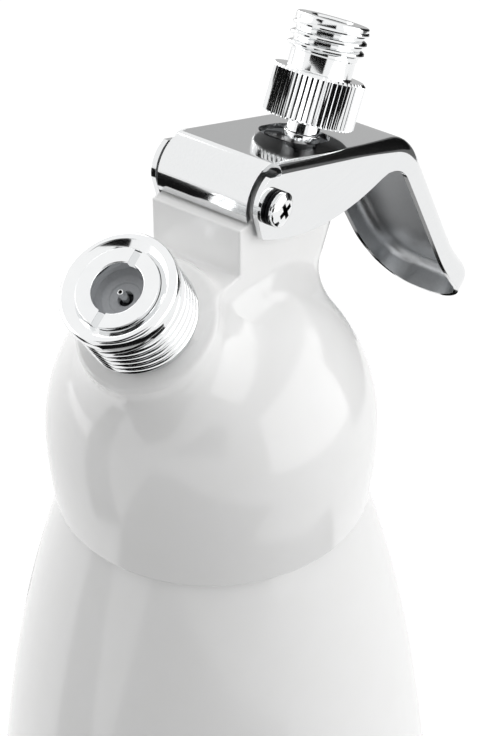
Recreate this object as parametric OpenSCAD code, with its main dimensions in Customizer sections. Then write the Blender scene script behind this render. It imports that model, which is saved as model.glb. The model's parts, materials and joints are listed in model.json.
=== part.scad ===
// Whipped cream dispenser: a one litre bottle with a screwed head, a charger inlet,
// a pressed valve stem and a squeeze lever.
// Origin at the centre of the bottle's base, +Z up, +X towards the lever's handle.
// All lengths are in millimetres and all angles in degrees.

/* [Bottle] */
// Height of the seam between the bottle and the head
bottle_h = 215; // [195:1:235]
// Largest radius of the bottle
bottle_r = 48; // [45:0.5:52]
// Wall of the bottle
bottle_wall = 2; // [1.4:0.1:3]
// Height at which the straight side starts to draw in
side_h = 85; // [70:1:95]
// Radius of the rounded edge round the base
base_round = 9; // [5:0.5:12]
// Radius of the shoulder where it meets the head
shoulder_r = 29.4; // [28.8:0.1:30]
// Outer radius of the threaded mouth, without its thread
mouth_r = 24.8; // [24:0.1:25.4]
// Height of the mouth above the seam
mouth_h = 16.5; // [14:0.5:18]
// Wall of the mouth
mouth_wall = 1.8; // [1.4:0.1:2.6]
// Pitch of the mouth's thread
mouth_pitch = 3; // [2.4:0.1:3.6]

/* [Head] */
// How far the head's rim stands out over the bottle's shoulder
rim_overhang = 1.1; // [0.6:0.1:1.6]
// Radius of the dome at its widest
dome_r = 31.6; // [31.2:0.1:33]
// Height of the dome's widest ring above the seam
dome_mid_h = 15; // [12:0.5:18]
// Height of the dome's top above the seam
dome_top_h = 49; // [47:0.5:51]
// Thickness of the dome's roof over its hollow
roof = 16.4; // [14:0.2:18]
// Width of the neck that carries the lever
neck_w = 19.2; // [17:0.2:21]
// Place of the neck's flat front
neck_front_x = -4.3; // [-5.5:0.1:-3.9]
// How far the step in front of the pivot lies below the pivot
step_drop = 1.6; // [1.2:0.1:2.5]
// How deep the neck and the shelf reach into the dome
neck_sink = 14; // [12:0.5:15]
// Height of the shelf behind the inlet
shelf_h = 54.5; // [52:0.1:56]
// Radius of the round boss under the inlet
boss_r = 13.4; // [12.4:0.1:15]
// Length of that boss along the inlet's axis
boss_len = 17; // [15:0.5:19]
// Thickness of the gasket between the head and the mouth
gasket_h = 2; // [1.5:0.1:3]

/* [Lever] */
// Place of the pivot along X
pivot_x = 3.5; // [3:0.1:4]
// Height of the pivot above the seam
pivot_h = 65.6; // [65:0.1:66.4]
// Radius of the lug round the pivot
lug_r = 4.4; // [4:0.1:4.6]
// Slope of the lever's top plate at rest
lever_rake = 19.85; // [17:0.05:21]
// Height of the plate's upper face above the pivot
plate_rise = 7.65; // [7.4:0.05:8.2]
// Outer radius of the rolled nose in front of the pivot
nose_r = 6.4; // [6.2:0.05:6.8]
// Angle through which the nose is rolled
nose_roll = 130; // [110:1:132]
// Thickness of the lever's sheet
sheet = 1; // [0.8:0.05:1.1]
// Length of the flat top plate behind the pivot
plate_len = 42.5; // [38:0.5:48]
// Outer radius of the bend behind the plate
bend_r = 17; // [14:0.5:22]
// Angle of that bend
bend_turn = 40.2; // [34:0.1:46]
// Length of the handle's straight part
handle_len = 32; // [26:0.5:40]
// Radius of the handle's counter curve
swell_r = 60; // [50:1:90]
// Angle of the counter curve
swell_turn = 9; // [5:0.5:12]
// Length of the handle's end after that curve
tip_len = 12.5; // [6:0.5:14]
// Depth of the turned-down edge along the handle
flange_h = 6; // [5:0.1:6.5]
// How far the cheeks reach below the pivot
cheek_drop = 6.7; // [5.5:0.1:7.5]
// Radius of the cheeks' curved lower edge
cheek_sweep_r = 62; // [55:1:75]
// How far the cheeks' front edge stands behind the nose's skin
cheek_set_back = 0.7; // [0.5:0.05:1]
// Width of the hole that the stem stands in
stem_hole_w = 11.6; // [10:0.2:12.4]
// How far ahead of the stem the hole's front round is centred
hole_ahead = 4.4; // [3.6:0.1:5]
// How far ahead of the stem the hole's rear round is centred
hole_behind = 0.9; // [0.6:0.1:1.4]
// Angle that the lever is squeezed through
squeeze = 9; // [6:0.5:9]

/* [Pivot] */
// Radius of the pivot barrel
barrel_r = 2; // [1.8:0.1:2.4]
// Radius of the pivot screw's shank
screw_r = 1.25; // [1:0.05:1.4]
// Radius of the screw's and the barrel's heads
screw_head_r = 3.25; // [3:0.05:3.8]
// Height of those heads
screw_head_h = 1.5; // [1.2:0.1:2]
// Thickness of the pivot washers
washer_h = 0.7; // [0.5:0.05:1]

/* [Valve stem] */
// Angle of the stem from the vertical
stem_tilt = 27.2; // [25:0.1:29]
// Place where the stem's axis crosses the seam
stem_foot_x = -3.9; // [-5:0.1:-3]
// Radius of the stem's shaft
stem_r = 3.1; // [2.8:0.05:3.3]
// Radius of the cream's passage in the stem
passage_r = 1.2; // [0.9:0.05:1.3]
// Radius of the shoulder that passes through the lever
shoulder_ring_r = 3.5; // [3.4:0.05:4]
// Radius of the collar that the lever presses
collar_r = 6.8; // [6.6:0.1:7.4]
// Thickness of that collar
collar_h = 1.6; // [1.2:0.1:2]
// Gap between the neck's top and the collar above it
collar_lift = 4.4; // [4:0.1:5]
// Depth of the spring's well in the neck
spring_well_h = 11.8; // [10:0.1:13]
// Distance along the stem from the seam to the valve seat
valve_seat_s = 33.5; // [33:0.1:34.5]
// Outer radius of the guide bush
bush_r = 5.2; // [4.8:0.05:5.2]
// Radius of the bush's flange, which is the valve seat
bush_flange_r = 7.6; // [7:0.1:8]
// Thickness of the bush's flange
bush_flange_h = 2.4; // [1.8:0.1:3]
// Radius of the valve gasket
valve_gasket_r = 6; // [5.4:0.1:6.4]
// Thickness of the valve gasket
valve_gasket_h = 2.4; // [1.8:0.1:3]
// Radius of the stem's threaded tail
tail_r = 2.3; // [2:0.05:2.4]
// Radius across the corners of the gasket nut
nut_r = 4.3; // [4:0.1:4.8]
// Height of the gasket nut
nut_h = 3.2; // [2.4:0.1:3.6]
// Wire diameter of the valve spring
spring_wire = 0.9; // [0.6:0.05:1]
// Turns of the valve spring
spring_turns = 6; // [5:1:8]

/* [Nozzle adapter] */
// Gap along the stem between the lever's plate and the knurled ring
ring_gap = 2.5; // [2.4:0.1:4]
// Height of the knurled ring
ring_h = 9; // [8:0.1:10]
// Radius of the knurled ring
ring_r = 9.06; // [8.5:0.02:9.6]
// Number of ridges round the ring
ridge_count = 54; // [40:2:60]
// Depth of the ridges
ridge_h = 0.5; // [0.3:0.05:0.7]
// Height of the threaded end above the ring
nozzle_h = 10; // [9:0.1:12]
// Radius of the threaded end's plain lead
nozzle_lead_r = 6.9; // [6.6:0.05:7]
// Length of the plain lead
nozzle_lead_h = 1.6; // [1.4:0.1:2.2]
// Chamfer at the lead's end
nozzle_chamfer = 0.4; // [0.3:0.05:0.6]
// Radius at the crests of the nozzle's thread
nozzle_crest_r = 7.2; // [7.05:0.05:7.4]
// Radius of the neck between the thread and the ring
nozzle_neck_r = 6.1; // [5.8:0.05:6.4]
// Pitch of the nozzle's thread
nozzle_pitch = 1.9; // [1.7:0.05:2.1]
// Radius of the nozzle's passage
nozzle_bore_r = 3.8; // [3.4:0.1:4.4]

/* [Charger inlet] */
// Lean of the inlet from the vertical
inlet_lean = 32.5; // [30:0.5:35]
// Height above the seam where the inlet's axis meets the bottle's axis
inlet_foot_h = 19.2; // [18:0.1:20.5]
// Distance along the inlet's axis to the boss's face
boss_face_t = 36; // [35:0.1:37]
// Distance along the inlet's axis to the rim's face
inlet_rim_t = 49.8; // [48.5:0.1:51]
// Radius of the rim
inlet_rim_r = 10.84; // [10.6:0.02:11.2]
// Length of the rim's plain side
inlet_rim_h = 2.6; // [2:0.1:3]
// Radius at the roots of the inlet's thread
inlet_root_r = 9.9; // [9.6:0.05:10]
// Radius at the crests of the inlet's thread
inlet_crest_r = 10.6; // [10.4:0.05:10.6]
// Pitch of the inlet's thread
inlet_pitch = 1.55; // [1.3:0.05:1.8]
// Radius of the inlet's tail inside the head
inlet_tail_r = 6.3; // [6:0.05:6.6]
// Length of that tail
inlet_tail_len = 21; // [20:0.5:23]
// Radius of the slotted ring
slot_ring_r = 7.7; // [7.2:0.05:8]
// Thickness of the slotted ring
slot_ring_h = 2.6; // [2:0.1:3]
// Radius of the hole in the slotted ring
slot_hole_r = 4.78; // [4.4:0.02:5]
// Width of the ring's two notches
notch_w = 1.5; // [1:0.1:2]
// Radius of the charger gasket and of the pin's holder
cup_r = 6; // [5.6:0.1:6.3]
// Thickness of the charger gasket
cup_h = 2.8; // [2.2:0.1:3.2]
// Thickness of the pin's holder
holder_h = 3.5; // [2.8:0.1:4]
// Radius of the piercing pin
pin_r = 0.7; // [0.6:0.05:0.9]
// Radius of the poppet's chamber
chamber_r = 4.2; // [4:0.1:4.6]
// Radius of the poppet
poppet_r = 3.4; // [3.1:0.05:3.6]
// Travel of the poppet
poppet_travel = 1.2; // [0.8:0.1:1.6]

/* [Fits] */
// Clearance round a sliding or turning shaft
running_gap = 0.05; // [0.03:0.01:0.09]
// Clearance between faces that meet but belong to pieces that move apart
face_gap = 0.1; // [0.06:0.01:0.2]
// Clearance between crests of mating threads, and round loose pieces
loose_gap = 0.3; // [0.2:0.05:0.4]
// Gap between the lever's cheek and the neck
cheek_gap = 0.9; // [0.7:0.05:1.1]
// Gap along the stem between the lever's plate and the collar that it presses
press_gap = 0.6; // [0.55:0.05:0.9]

/* [Hidden] */
$fn = 72;

// Colours, as seen
white_enamel = "#f2f2f2";
bright_chrome = "#c9ccd0";
polished_steel = "#b9bcc1";
grey_rubber = "#6f7276";
dark_steel = "#4a4d52";

// How far a cut runs past the face that it opens
over = 1;

// Bottle
steps = 14;
side_pull_h = 50;
shoulder_pull_r = 12.1;
shoulder_pull_h = 35;
mouth_bore_r = mouth_r - mouth_wall;
thread_h = 0.8;
thread_start_h = 3;
mouth_root_h = 1;
lip_chamfer = 0.4;
mouth_crest_r = mouth_r + thread_h;
mouth_turns = floor((mouth_h - thread_start_h - mouth_root_h) / mouth_pitch);
shoulder_top_r = mouth_r + 2.2;

// Head
rim_r = shoulder_r + rim_overhang;
socket_crest_r = mouth_crest_r + loose_gap;
socket_r = socket_crest_r + thread_h;
seat_h = mouth_h + face_gap;
socket_h = seat_h + gasket_h;
hollow_step = 1;
hollow_r = mouth_bore_r - hollow_step;
hollow_top_h = dome_top_h - roof;
neck_half = neck_w / 2;
neck_back_swell = 0.05;
neck_back_r = neck_half + neck_back_swell;
shelf_lap = 1;
boss_lap = 8;
neck_root_h = dome_top_h - neck_sink;
boss_root_t = boss_face_t - boss_len;
rim_gap = face_gap + loose_gap;
step_h = pivot_h - step_drop;

// Lever
lever_half = neck_half + cheek_gap + sheet;
cheek_inner = lever_half - sheet;
nose_slit = 0.6;
nose_half = cheek_inner - nose_slit;
cheek_front_r = nose_r - cheek_set_back;
cheek_low_x = 9;
stem_hole_r = stem_hole_w / 2;
washer_y = lever_half + face_gap;
head_y = washer_y + washer_h;
recess_w = 0.8;
recess_turn = 20;

// Stem: sizes along its own axis, measured from the seam
tilt_from_plate = stem_tilt - lever_rake;
foot_to_pivot = [pivot_x - stem_foot_x, pivot_h];
plate_under_s = (plate_rise - sheet + foot_to_pivot[0] * sin(lever_rake)
    + foot_to_pivot[1] * cos(lever_rake)) / cos(tilt_from_plate);
stem_hole_x = plate_under_s * sin(tilt_from_plate)
    - foot_to_pivot[0] * cos(lever_rake) + foot_to_pivot[1] * sin(lever_rake);
collar_top_s = plate_under_s - press_gap;
collar_under_s = collar_top_s - collar_h;
shoulder_top_s = plate_under_s + sheet;
neck_top_s = collar_under_s - collar_lift;
spring_seat_s = neck_top_s - spring_well_h;
ring_s = shoulder_top_s + ring_gap;
plate_pressed_s = (plate_rise - sheet + foot_to_pivot[0] * sin(lever_rake + squeeze)
    + foot_to_pivot[1] * cos(lever_rake + squeeze)) / cos(tilt_from_plate - squeeze);
stem_travel = plate_under_s - plate_pressed_s;
spring_well_r = bush_r + 0.4;
bush_bore_r = stem_r + running_gap;
spotface_r = bush_flange_r + 0.4;
spotface_s = valve_seat_s - valve_gasket_h - nut_h - stem_travel - 1;
oring_up = 10;
oring_s = valve_seat_s + oring_up;
oring_wire = 1.05;
oring_floor_r = bush_bore_r - oring_wire - 0.02;
cream_hole_r = 0.9;
cream_hole_s = valve_seat_s + cream_hole_r + 0.9;

// Nozzle adapter
stem_thread_r = stem_r - 0.1;
socket_len = ring_h - 1.4;
stem_top_s = ring_s + socket_len - 1.2;
nozzle_turns = 3;
nozzle_thread_s = nozzle_h - nozzle_lead_h - nozzle_turns * nozzle_pitch;
nozzle_root_r = nozzle_neck_r + 0.2;
nozzle_floor = 1.5;

// Inlet: sizes along its own axis
ring_floor_t = inlet_rim_t - slot_ring_h;
cup_floor_t = ring_floor_t - cup_h;
holder_floor_t = cup_floor_t - holder_h;
tail_end_t = boss_face_t - inlet_tail_len;
inlet_thread_t = boss_face_t + 0.8;
inlet_turns = floor((inlet_rim_t - inlet_rim_h - inlet_thread_t) / inlet_pitch);
poppet_seat_t = boss_face_t - 1.5;
poppet_guide_h = 1.8;
poppet_h = poppet_guide_h + poppet_travel;
seal_h = 1.2;
cage_h = 3;
gas_hole_r = 1.5;
gas_way = 6;
rim_chamfer = 0.6;
lip_w = 1.2;
lip_drop = 0.9;
groove_w = 1.6;
groove_h = 0.8;
groove_wire = 0.6;
pin_drop = 1.7;
cup_lip = 0.6;
cup_dish = 1.2;
cup_floor = 1.4;
poppet_brim = 1;
check_wire = 0.5;
check_turns = 6;

// Point on a cubic curve through four control points
function curve(p, u) = pow(1 - u, 3) * p[0] + 3 * u * pow(1 - u, 2) * p[1]
    + 3 * u * u * (1 - u) * p[2] + pow(u, 3) * p[3];

// Points along a path of moves, each [length, turn]: straight when the turn is 0,
// otherwise an arc of that length which turns through that angle
function walk(p, a, moves, i = 0) = i == len(moves) ? [[p[0], p[1], a]] :
    let (m = moves[i], n = m[1] == 0 ? 1 : 8, d = m[0] / n, t = m[1] / n)
    concat([[p[0], p[1], a]], pieces(p, a, d, t, n, 1),
        walk(arrive(p, a, d, t, n), a + m[1], moves, i + 1));
function hop(p, a, d, t) = [p[0] + d * cos(a + t / 2), p[1] + d * sin(a + t / 2)];
function arrive(p, a, d, t, n) = n == 0 ? p : arrive(hop(p, a, d, t), a + t, d, t, n - 1);
function pieces(p, a, d, t, n, i) = i >= n ? [] :
    let (q = arrive(p, a, d, t, i)) concat([[q[0], q[1], a + t * i]], pieces(p, a, d, t, n, i + 1));

// A path's points set in by a distance to its right
function inset(path, d) = [for (q = path) [q[0] + d * sin(q[2]), q[1] - d * cos(q[2])]];
function flat(path) = [for (q = path) [q[0], q[1]]];
function backwards(list) = [for (i = [len(list) - 1:-1:0]) list[i]];

// Outline of a row of thread ridges, from a root radius out to a crest radius
function ridges(root_r, crest_r, from, pitch, turns) = [for (i = [0:turns - 1], k = [0:3])
    [k == 0 || k == 3 ? root_r : crest_r, from + pitch * (i + [0.06, 0.38, 0.62, 0.94][k])]];

// Arc length for a move: an arc of radius r that turns through angle a
function arc_len(r, a) = r * a * PI / 180;

handle_path = walk([0, plate_rise], 0, [[plate_len, 0], [arc_len(bend_r, bend_turn), -bend_turn],
    [handle_len, 0], [arc_len(swell_r, swell_turn), swell_turn], [tip_len, 0]]);

// One unbroken helical wire round Z with its ends cut square
module coil(mean_r, wire, length, turns) {
    sides = 6;
    rings = 12 * turns;
    rise = length - wire;
    ring = [for (i = [0:rings], k = [0:sides - 1])
        let (a = 360 * turns * i / rings, b = 360 * k / sides, r = mean_r + wire / 2 * cos(b))
        [r * cos(a), r * sin(a), wire / 2 + rise * i / rings + wire / 2 * sin(b)]];
    skin = [for (i = [0:rings - 1], k = [0:sides - 1])
        let (a = i * sides + k, b = i * sides + (k + 1) % sides)
        each [[a, b, b + sides], [a, b + sides, a + sides]]];
    last = rings * sides;
    start = [for (k = [1:sides - 2]) [0, k + 1, k]];
    finish = [for (k = [1:sides - 2]) [last, last + k, last + k + 1]];
    polyhedron(points = ring, faces = concat(skin, start, finish));
}

// A plain ring with a square section
module ring(outer_r, inner_r, h) {
    rotate_extrude() translate([inner_r, 0]) square([outer_r - inner_r, h]);
}

// A round-section sealing ring
module oring(floor_r, wire) {
    rotate_extrude() translate([floor_r + wire / 2, 0]) circle(d = wire, $fn = 24);
}

// Places its children on the bottle's axis at a height above the seam
module above_seam(h) {
    translate([0, 0, bottle_h + h]) children();
}

// Places its children on the stem's axis
module on_stem(s) {
    translate([stem_foot_x, 0, bottle_h]) rotate([0, stem_tilt, 0]) translate([0, 0, s]) children();
}

// Places its children on the inlet's axis
module on_inlet(t) {
    above_seam(inlet_foot_h) rotate([0, -inlet_lean, 0]) translate([0, 0, t]) children();
}

// Places its children at the pivot, with X along the lever's plate and Z out of it
module at_pivot() {
    translate([pivot_x, 0, bottle_h + pivot_h]) rotate([0, lever_rake, 0]) children();
}

// Extrudes an outline drawn in X and Z to a width centred on Y
module across(w) {
    rotate([90, 0, 0]) linear_extrude(w, center = true) children();
}

// A cylinder along Y
module cross_pin(r, from, to) {
    translate([0, from, 0]) rotate([-90, 0, 0]) cylinder(r = r, h = to - from);
}

// Half outline of the bottle, set in by a wall: base edge, side and shoulder
function bottle_side(inset_r) = concat(
    [for (i = [0:steps / 2]) let (a = 90 * i / (steps / 2), r = base_round)
        [bottle_r - r + (r - inset_r) * sin(a), r - (r - inset_r) * cos(a)]],
    [for (i = [0:steps]) curve([[bottle_r - inset_r, side_h],
        [bottle_r - inset_r, side_h + side_pull_h],
        [shoulder_r - inset_r + shoulder_pull_r, bottle_h - shoulder_pull_h],
        [shoulder_r - inset_r, bottle_h]], i / steps)]);

module bottle() {
    color(white_enamel) difference() {
        rotate_extrude() polygon(concat([[0, 0]], bottle_side(0),
            [[shoulder_top_r, bottle_h + face_gap], [mouth_r, bottle_h + mouth_root_h]],
            ridges(mouth_r, mouth_crest_r, bottle_h + thread_start_h, mouth_pitch, mouth_turns),
            [[mouth_r, bottle_h + mouth_h - lip_chamfer], [mouth_r - lip_chamfer, bottle_h + mouth_h],
            [0, bottle_h + mouth_h]]));
        rotate_extrude() polygon(concat([[0, bottle_wall]], bottle_side(bottle_wall),
            [[mouth_bore_r, bottle_h - mouth_root_h], [mouth_bore_r, bottle_h + mouth_h + over],
            [0, bottle_h + mouth_h + over]]));
    }
}

// Outer skin of the head's dome
module dome_skin() {
    rim_steps = 4;
    above_seam(0) rotate_extrude() polygon(concat([[0, rim_gap]],
        [for (i = [0:rim_steps]) [rim_r + (dome_r - rim_r) * sin(90 * i / rim_steps),
            rim_gap + (dome_mid_h - rim_gap) * i / rim_steps]],
        [for (i = [1:steps]) [dome_r * cos(90 * i / steps),
            dome_mid_h + (dome_top_h - dome_mid_h) * sin(90 * i / steps)]]));
}

// Neck: a flat-sided block with a lug for the pivot and a round back on the stem's axis
module neck_form() {
    block_top_s = neck_top_s - face_gap;
    top = [stem_foot_x + block_top_s * sin(stem_tilt), block_top_s * cos(stem_tilt)];
    corner = [top[0] - (step_h - top[1]) / tan(stem_tilt), step_h];
    root_x = stem_foot_x + neck_root_h * tan(stem_tilt);
    above_seam(0) across(neck_w) polygon([[neck_front_x, neck_root_h], [neck_front_x, step_h],
        corner, top, [root_x, neck_root_h]]);
    on_stem(neck_root_h) cylinder(r = neck_back_r, h = neck_top_s - neck_root_h);
    translate([pivot_x, 0, bottle_h + pivot_h]) cross_pin(lug_r, -neck_half, neck_half);
}

// Boss under the inlet, and the shelf that joins it to the neck
module boss_form() {
    face = [-boss_face_t * sin(inlet_lean), inlet_foot_h + boss_face_t * cos(inlet_lean)];
    edge = [face[0] + (shelf_h - face[1]) / tan(inlet_lean), shelf_h];
    on_inlet(boss_root_t) cylinder(r = boss_r, h = boss_face_t - boss_root_t);
    back_x = neck_front_x + shelf_lap;
    above_seam(0) across(neck_w) polygon([[back_x, neck_root_h], [back_x, shelf_h], edge, face,
        [face[0] + boss_lap, neck_root_h]]);
}

// Threaded socket and the domed hollow above it
module head_hollow() {
    rise = hollow_top_h - socket_h;
    above_seam(0) rotate_extrude() polygon(concat([[0, -over], [socket_r, -over], [socket_r, thread_start_h]],
        ridges(socket_r, socket_crest_r, thread_start_h, mouth_pitch, mouth_turns),
        [[socket_r, socket_h], [hollow_r, socket_h]],
        [for (i = [1:steps / 2]) let (a = 90 * i / (steps / 2))
            [hollow_r * cos(a), socket_h + rise * sin(a)]]));
}

module head() {
    color(white_enamel) difference() {
        union() {
            dome_skin();
            neck_form();
            boss_form();
        }
        head_hollow();
        on_stem(spotface_s) cylinder(r = spotface_r, h = valve_seat_s + bush_flange_h - spotface_s);
        on_stem(valve_seat_s) cylinder(r = bush_r, h = neck_top_s - valve_seat_s);
        on_stem(spring_seat_s) cylinder(r = spring_well_r, h = neck_top_s - spring_seat_s + over);
        on_inlet(tail_end_t - gas_way)
            cylinder(r = inlet_tail_r, h = inlet_tail_len + gas_way + over);
        translate([pivot_x, 0, bottle_h + pivot_h]) cross_pin(barrel_r, -neck_w, neck_w);
    }
}

module head_gasket() {
    color(grey_rubber) above_seam(seat_h) ring(socket_r - face_gap, mouth_bore_r, gasket_h);
}

module guide_bush() {
    color(bright_chrome) on_stem(0) rotate_extrude() polygon([[bush_bore_r, valve_seat_s],
        [bush_flange_r, valve_seat_s], [bush_flange_r, valve_seat_s + bush_flange_h],
        [bush_r, valve_seat_s + bush_flange_h], [bush_r, spring_seat_s], [bush_bore_r, spring_seat_s]]);
}

module valve_stem() {
    tail_s = valve_seat_s - valve_gasket_h - nut_h - face_gap;
    groove = oring_wire + 0.3;
    color(bright_chrome) difference() {
        on_stem(0) rotate_extrude() polygon([[0, tail_s], [tail_r, tail_s], [tail_r, valve_seat_s],
            [stem_r, valve_seat_s], [stem_r, oring_s - groove / 2], [oring_floor_r, oring_s - groove / 2],
            [oring_floor_r, oring_s + groove / 2], [stem_r, oring_s + groove / 2],
            [stem_r, collar_under_s], [collar_r, collar_under_s], [collar_r, collar_top_s],
            [shoulder_ring_r, collar_top_s], [shoulder_ring_r, shoulder_top_s], [stem_r, shoulder_top_s],
            [stem_r, ring_s - face_gap], [stem_thread_r, ring_s - face_gap],
            [stem_thread_r, stem_top_s], [0, stem_top_s]]);
        on_stem(cream_hole_s) cylinder(r = passage_r, h = stem_top_s);
        on_stem(cream_hole_s) rotate([90, 0, 0]) cylinder(r = cream_hole_r, h = stem_r * 3, center = true);
    }
}

module stem_oring() {
    color(grey_rubber) on_stem(oring_s) oring(oring_floor_r, oring_wire);
}

module valve_gasket() {
    color(grey_rubber) on_stem(valve_seat_s - face_gap - valve_gasket_h)
        ring(valve_gasket_r, tail_r, valve_gasket_h);
}

module gasket_nut() {
    color(bright_chrome) on_stem(valve_seat_s - face_gap - valve_gasket_h - nut_h) difference() {
        cylinder(r = nut_r, h = nut_h, $fn = 6);
        translate([0, 0, -over]) cylinder(r = tail_r, h = nut_h + 2 * over, $fn = 48);
    }
}

module valve_spring() {
    well = spring_well_r - loose_gap - spring_wire / 2;
    shaft = stem_r + loose_gap + spring_wire / 2;
    color(polished_steel) on_stem(spring_seat_s + face_gap)
        coil((well + shaft) / 2, spring_wire, collar_under_s - spring_seat_s - 2 * face_gap, spring_turns);
}

// Outline of the knurled ring, seen along its axis
function knurl_outline() = [for (i = [0:ridge_count - 1], k = [0:3])
    let (a = 360 * (i + [0, 0.35, 0.55, 0.8][k]) / ridge_count, r = ring_r - (k < 2 ? 0 : ridge_h))
    [r * cos(a), r * sin(a)]];

module nozzle_adapter() {
    top = ring_h + nozzle_h;
    thread_from = ring_h + nozzle_thread_s;
    color(bright_chrome) on_stem(ring_s) difference() {
        union() {
            linear_extrude(ring_h) polygon(knurl_outline());
            rotate_extrude() polygon(concat([[0, ring_h - over], [nozzle_neck_r, ring_h - over],
                [nozzle_neck_r, thread_from]],
                ridges(nozzle_root_r, nozzle_crest_r, thread_from, nozzle_pitch, nozzle_turns),
                [[nozzle_lead_r, top - nozzle_lead_h], [nozzle_lead_r, top - nozzle_chamfer],
                [nozzle_lead_r - nozzle_chamfer, top], [0, top]]));
        }
        translate([0, 0, -over]) cylinder(r = stem_thread_r + running_gap, h = socket_len + over);
        translate([0, 0, socket_len - face_gap]) cylinder(r = passage_r, h = top);
        translate([0, 0, socket_len + nozzle_floor]) cylinder(r = nozzle_bore_r, h = top);
    }
}

module adapter_seal() {
    color(grey_rubber) on_stem(stem_top_s + face_gap)
        ring(stem_thread_r + running_gap, passage_r, ring_s + socket_len - stem_top_s - face_gap);
}

// Side outline of a cheek, with the turned-down edge that runs along the handle
module cheek_outline() {
    low = plate_rise - flange_h;
    drop_from = -cheek_drop + cheek_sweep_r;
    end_a = acos((drop_from - low) / cheek_sweep_r);
    tip_a = -10;
    polygon(concat(
        [for (a = [tip_a:(end_a - tip_a) / steps:end_a])
            [cheek_low_x + cheek_sweep_r * sin(a), drop_from - cheek_sweep_r * cos(a)]],
        [[plate_len, low], [plate_len, plate_rise], [0, plate_rise]],
        [for (a = [105:20:205]) [0, plate_rise - nose_r] + cheek_front_r * [cos(a), sin(a)]]));
    polygon(concat(flat(handle_path), backwards(inset(handle_path, flange_h))));
}

// Rolled nose in front of the pivot, seen from the side
module nose_outline() {
    turns = [for (i = [0:steps]) let (a = 90 + nose_roll * i / steps) [cos(a), sin(a)]];
    translate([0, plate_rise - nose_r])
        polygon(concat(nose_r * turns, (nose_r - sheet) * backwards(turns)));
}

module lever() {
    tip = handle_path[len(handle_path) - 1];
    color(polished_steel) at_pivot() difference() {
        union() {
            across(2 * lever_half) polygon(concat(flat(handle_path), backwards(inset(handle_path, sheet))));
            across(2 * nose_half) nose_outline();
            for (side = [-1, 1])
                translate([0, side * (lever_half - sheet / 2), 0]) across(sheet) cheek_outline();
            translate([tip[0], 0, tip[1]]) rotate([0, -tip[2], 0])
                translate([-sheet, -lever_half, -flange_h]) cube([sheet, 2 * lever_half, flange_h]);
        }
        for (ahead = [hole_ahead, hole_behind])
            translate([stem_hole_x - ahead, 0, 0]) cylinder(r = stem_hole_r, h = plate_rise + over);
        cross_pin(barrel_r + running_gap, -lever_half - over, lever_half + over);
    }
}

// Places its children on the pivot's axis, with Y out of the near cheek when side is -1
module pivot_side(side, from) {
    translate([pivot_x, side * from, bottle_h + pivot_h]) rotate([-side * 90, 0, 0]) children();
}

// Rounded head of a screw or barrel, standing up from its seat
module pan_head(r, h) {
    rotate_extrude() polygon(concat([[0, 0], [r, 0]],
        [for (a = [0:15:90]) [r - h / 2 + h / 2 * cos(a), h / 2 + h / 2 * sin(a)]], [[0, h]]));
}

module pivot_barrel() {
    color(bright_chrome) difference() {
        union() {
            translate([pivot_x, 0, bottle_h + pivot_h]) cross_pin(barrel_r, -head_y, head_y);
            pivot_side(1, head_y) pan_head(screw_head_r, screw_head_h);
        }
        translate([pivot_x, 0, bottle_h + pivot_h]) cross_pin(screw_r, -head_y - over, neck_half);
    }
}

module pivot_screw() {
    recess = screw_head_r * 1.1;
    color(bright_chrome) difference() {
        union() {
            pivot_side(-1, head_y) pan_head(screw_head_r, screw_head_h);
            translate([pivot_x, 0, bottle_h + pivot_h])
                cross_pin(screw_r, -head_y - face_gap, neck_half - over);
        }
        for (a = [0, 90])
            pivot_side(-1, head_y + screw_head_h * 0.4) rotate([0, 0, a + recess_turn])
                translate([-recess / 2, -recess_w / 2, 0]) cube([recess, recess_w, screw_head_h]);
    }
}

module near_washer() {
    color(dark_steel) pivot_side(-1, washer_y) ring(screw_head_r, barrel_r, washer_h);
}

module far_washer() {
    color(dark_steel) pivot_side(1, washer_y) ring(screw_head_r, barrel_r, washer_h);
}

module inlet_nipple() {
    rim_from = inlet_rim_t - inlet_rim_h;
    color(bright_chrome) on_inlet(0) difference() {
        rotate_extrude() polygon(concat([[0, tail_end_t], [inlet_tail_r, tail_end_t],
            [inlet_tail_r, boss_face_t], [inlet_root_r, boss_face_t]],
            ridges(inlet_root_r, inlet_crest_r, inlet_thread_t, inlet_pitch, inlet_turns),
            [[inlet_root_r, rim_from], [inlet_rim_r, rim_from], [inlet_rim_r, inlet_rim_t - rim_chamfer],
            [inlet_rim_r - rim_chamfer, inlet_rim_t], [slot_ring_r + lip_w, inlet_rim_t],
            [slot_ring_r, inlet_rim_t - lip_drop], [0, inlet_rim_t - lip_drop]]));
        translate([0, 0, ring_floor_t]) cylinder(r = slot_ring_r, h = slot_ring_h + over);
        translate([0, 0, holder_floor_t]) cylinder(r = cup_r, h = inlet_rim_t);
        translate([0, 0, poppet_seat_t - over]) cylinder(r = gas_hole_r, h = inlet_rim_t);
        translate([0, 0, tail_end_t - over]) cylinder(r = chamber_r, h = poppet_seat_t - tail_end_t + over);
        translate([0, 0, boss_face_t - face_gap])
            ring(inlet_tail_r + groove_w, inlet_tail_r - face_gap, groove_h);
    }
}

module nipple_oring() {
    color(grey_rubber) on_inlet(boss_face_t)
        ring(inlet_tail_r + groove_w - face_gap, inlet_tail_r, groove_wire);
}

module slotted_ring() {
    color(bright_chrome) on_inlet(ring_floor_t) difference() {
        ring(slot_ring_r - running_gap, slot_hole_r, slot_ring_h);
        translate([-slot_ring_r - over, -notch_w / 2, slot_ring_h / 2])
            cube([2 * (slot_ring_r + over), notch_w, slot_ring_h]);
    }
}

module charger_gasket() {
    color(grey_rubber) on_inlet(cup_floor_t) rotate_extrude() polygon([[pin_r * 2, 0], [cup_r, 0],
        [cup_r, cup_h], [slot_hole_r, cup_h], [slot_hole_r - cup_lip, cup_h - cup_dish],
        [pin_r * 2, cup_h - cup_floor]]);
}

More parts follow.
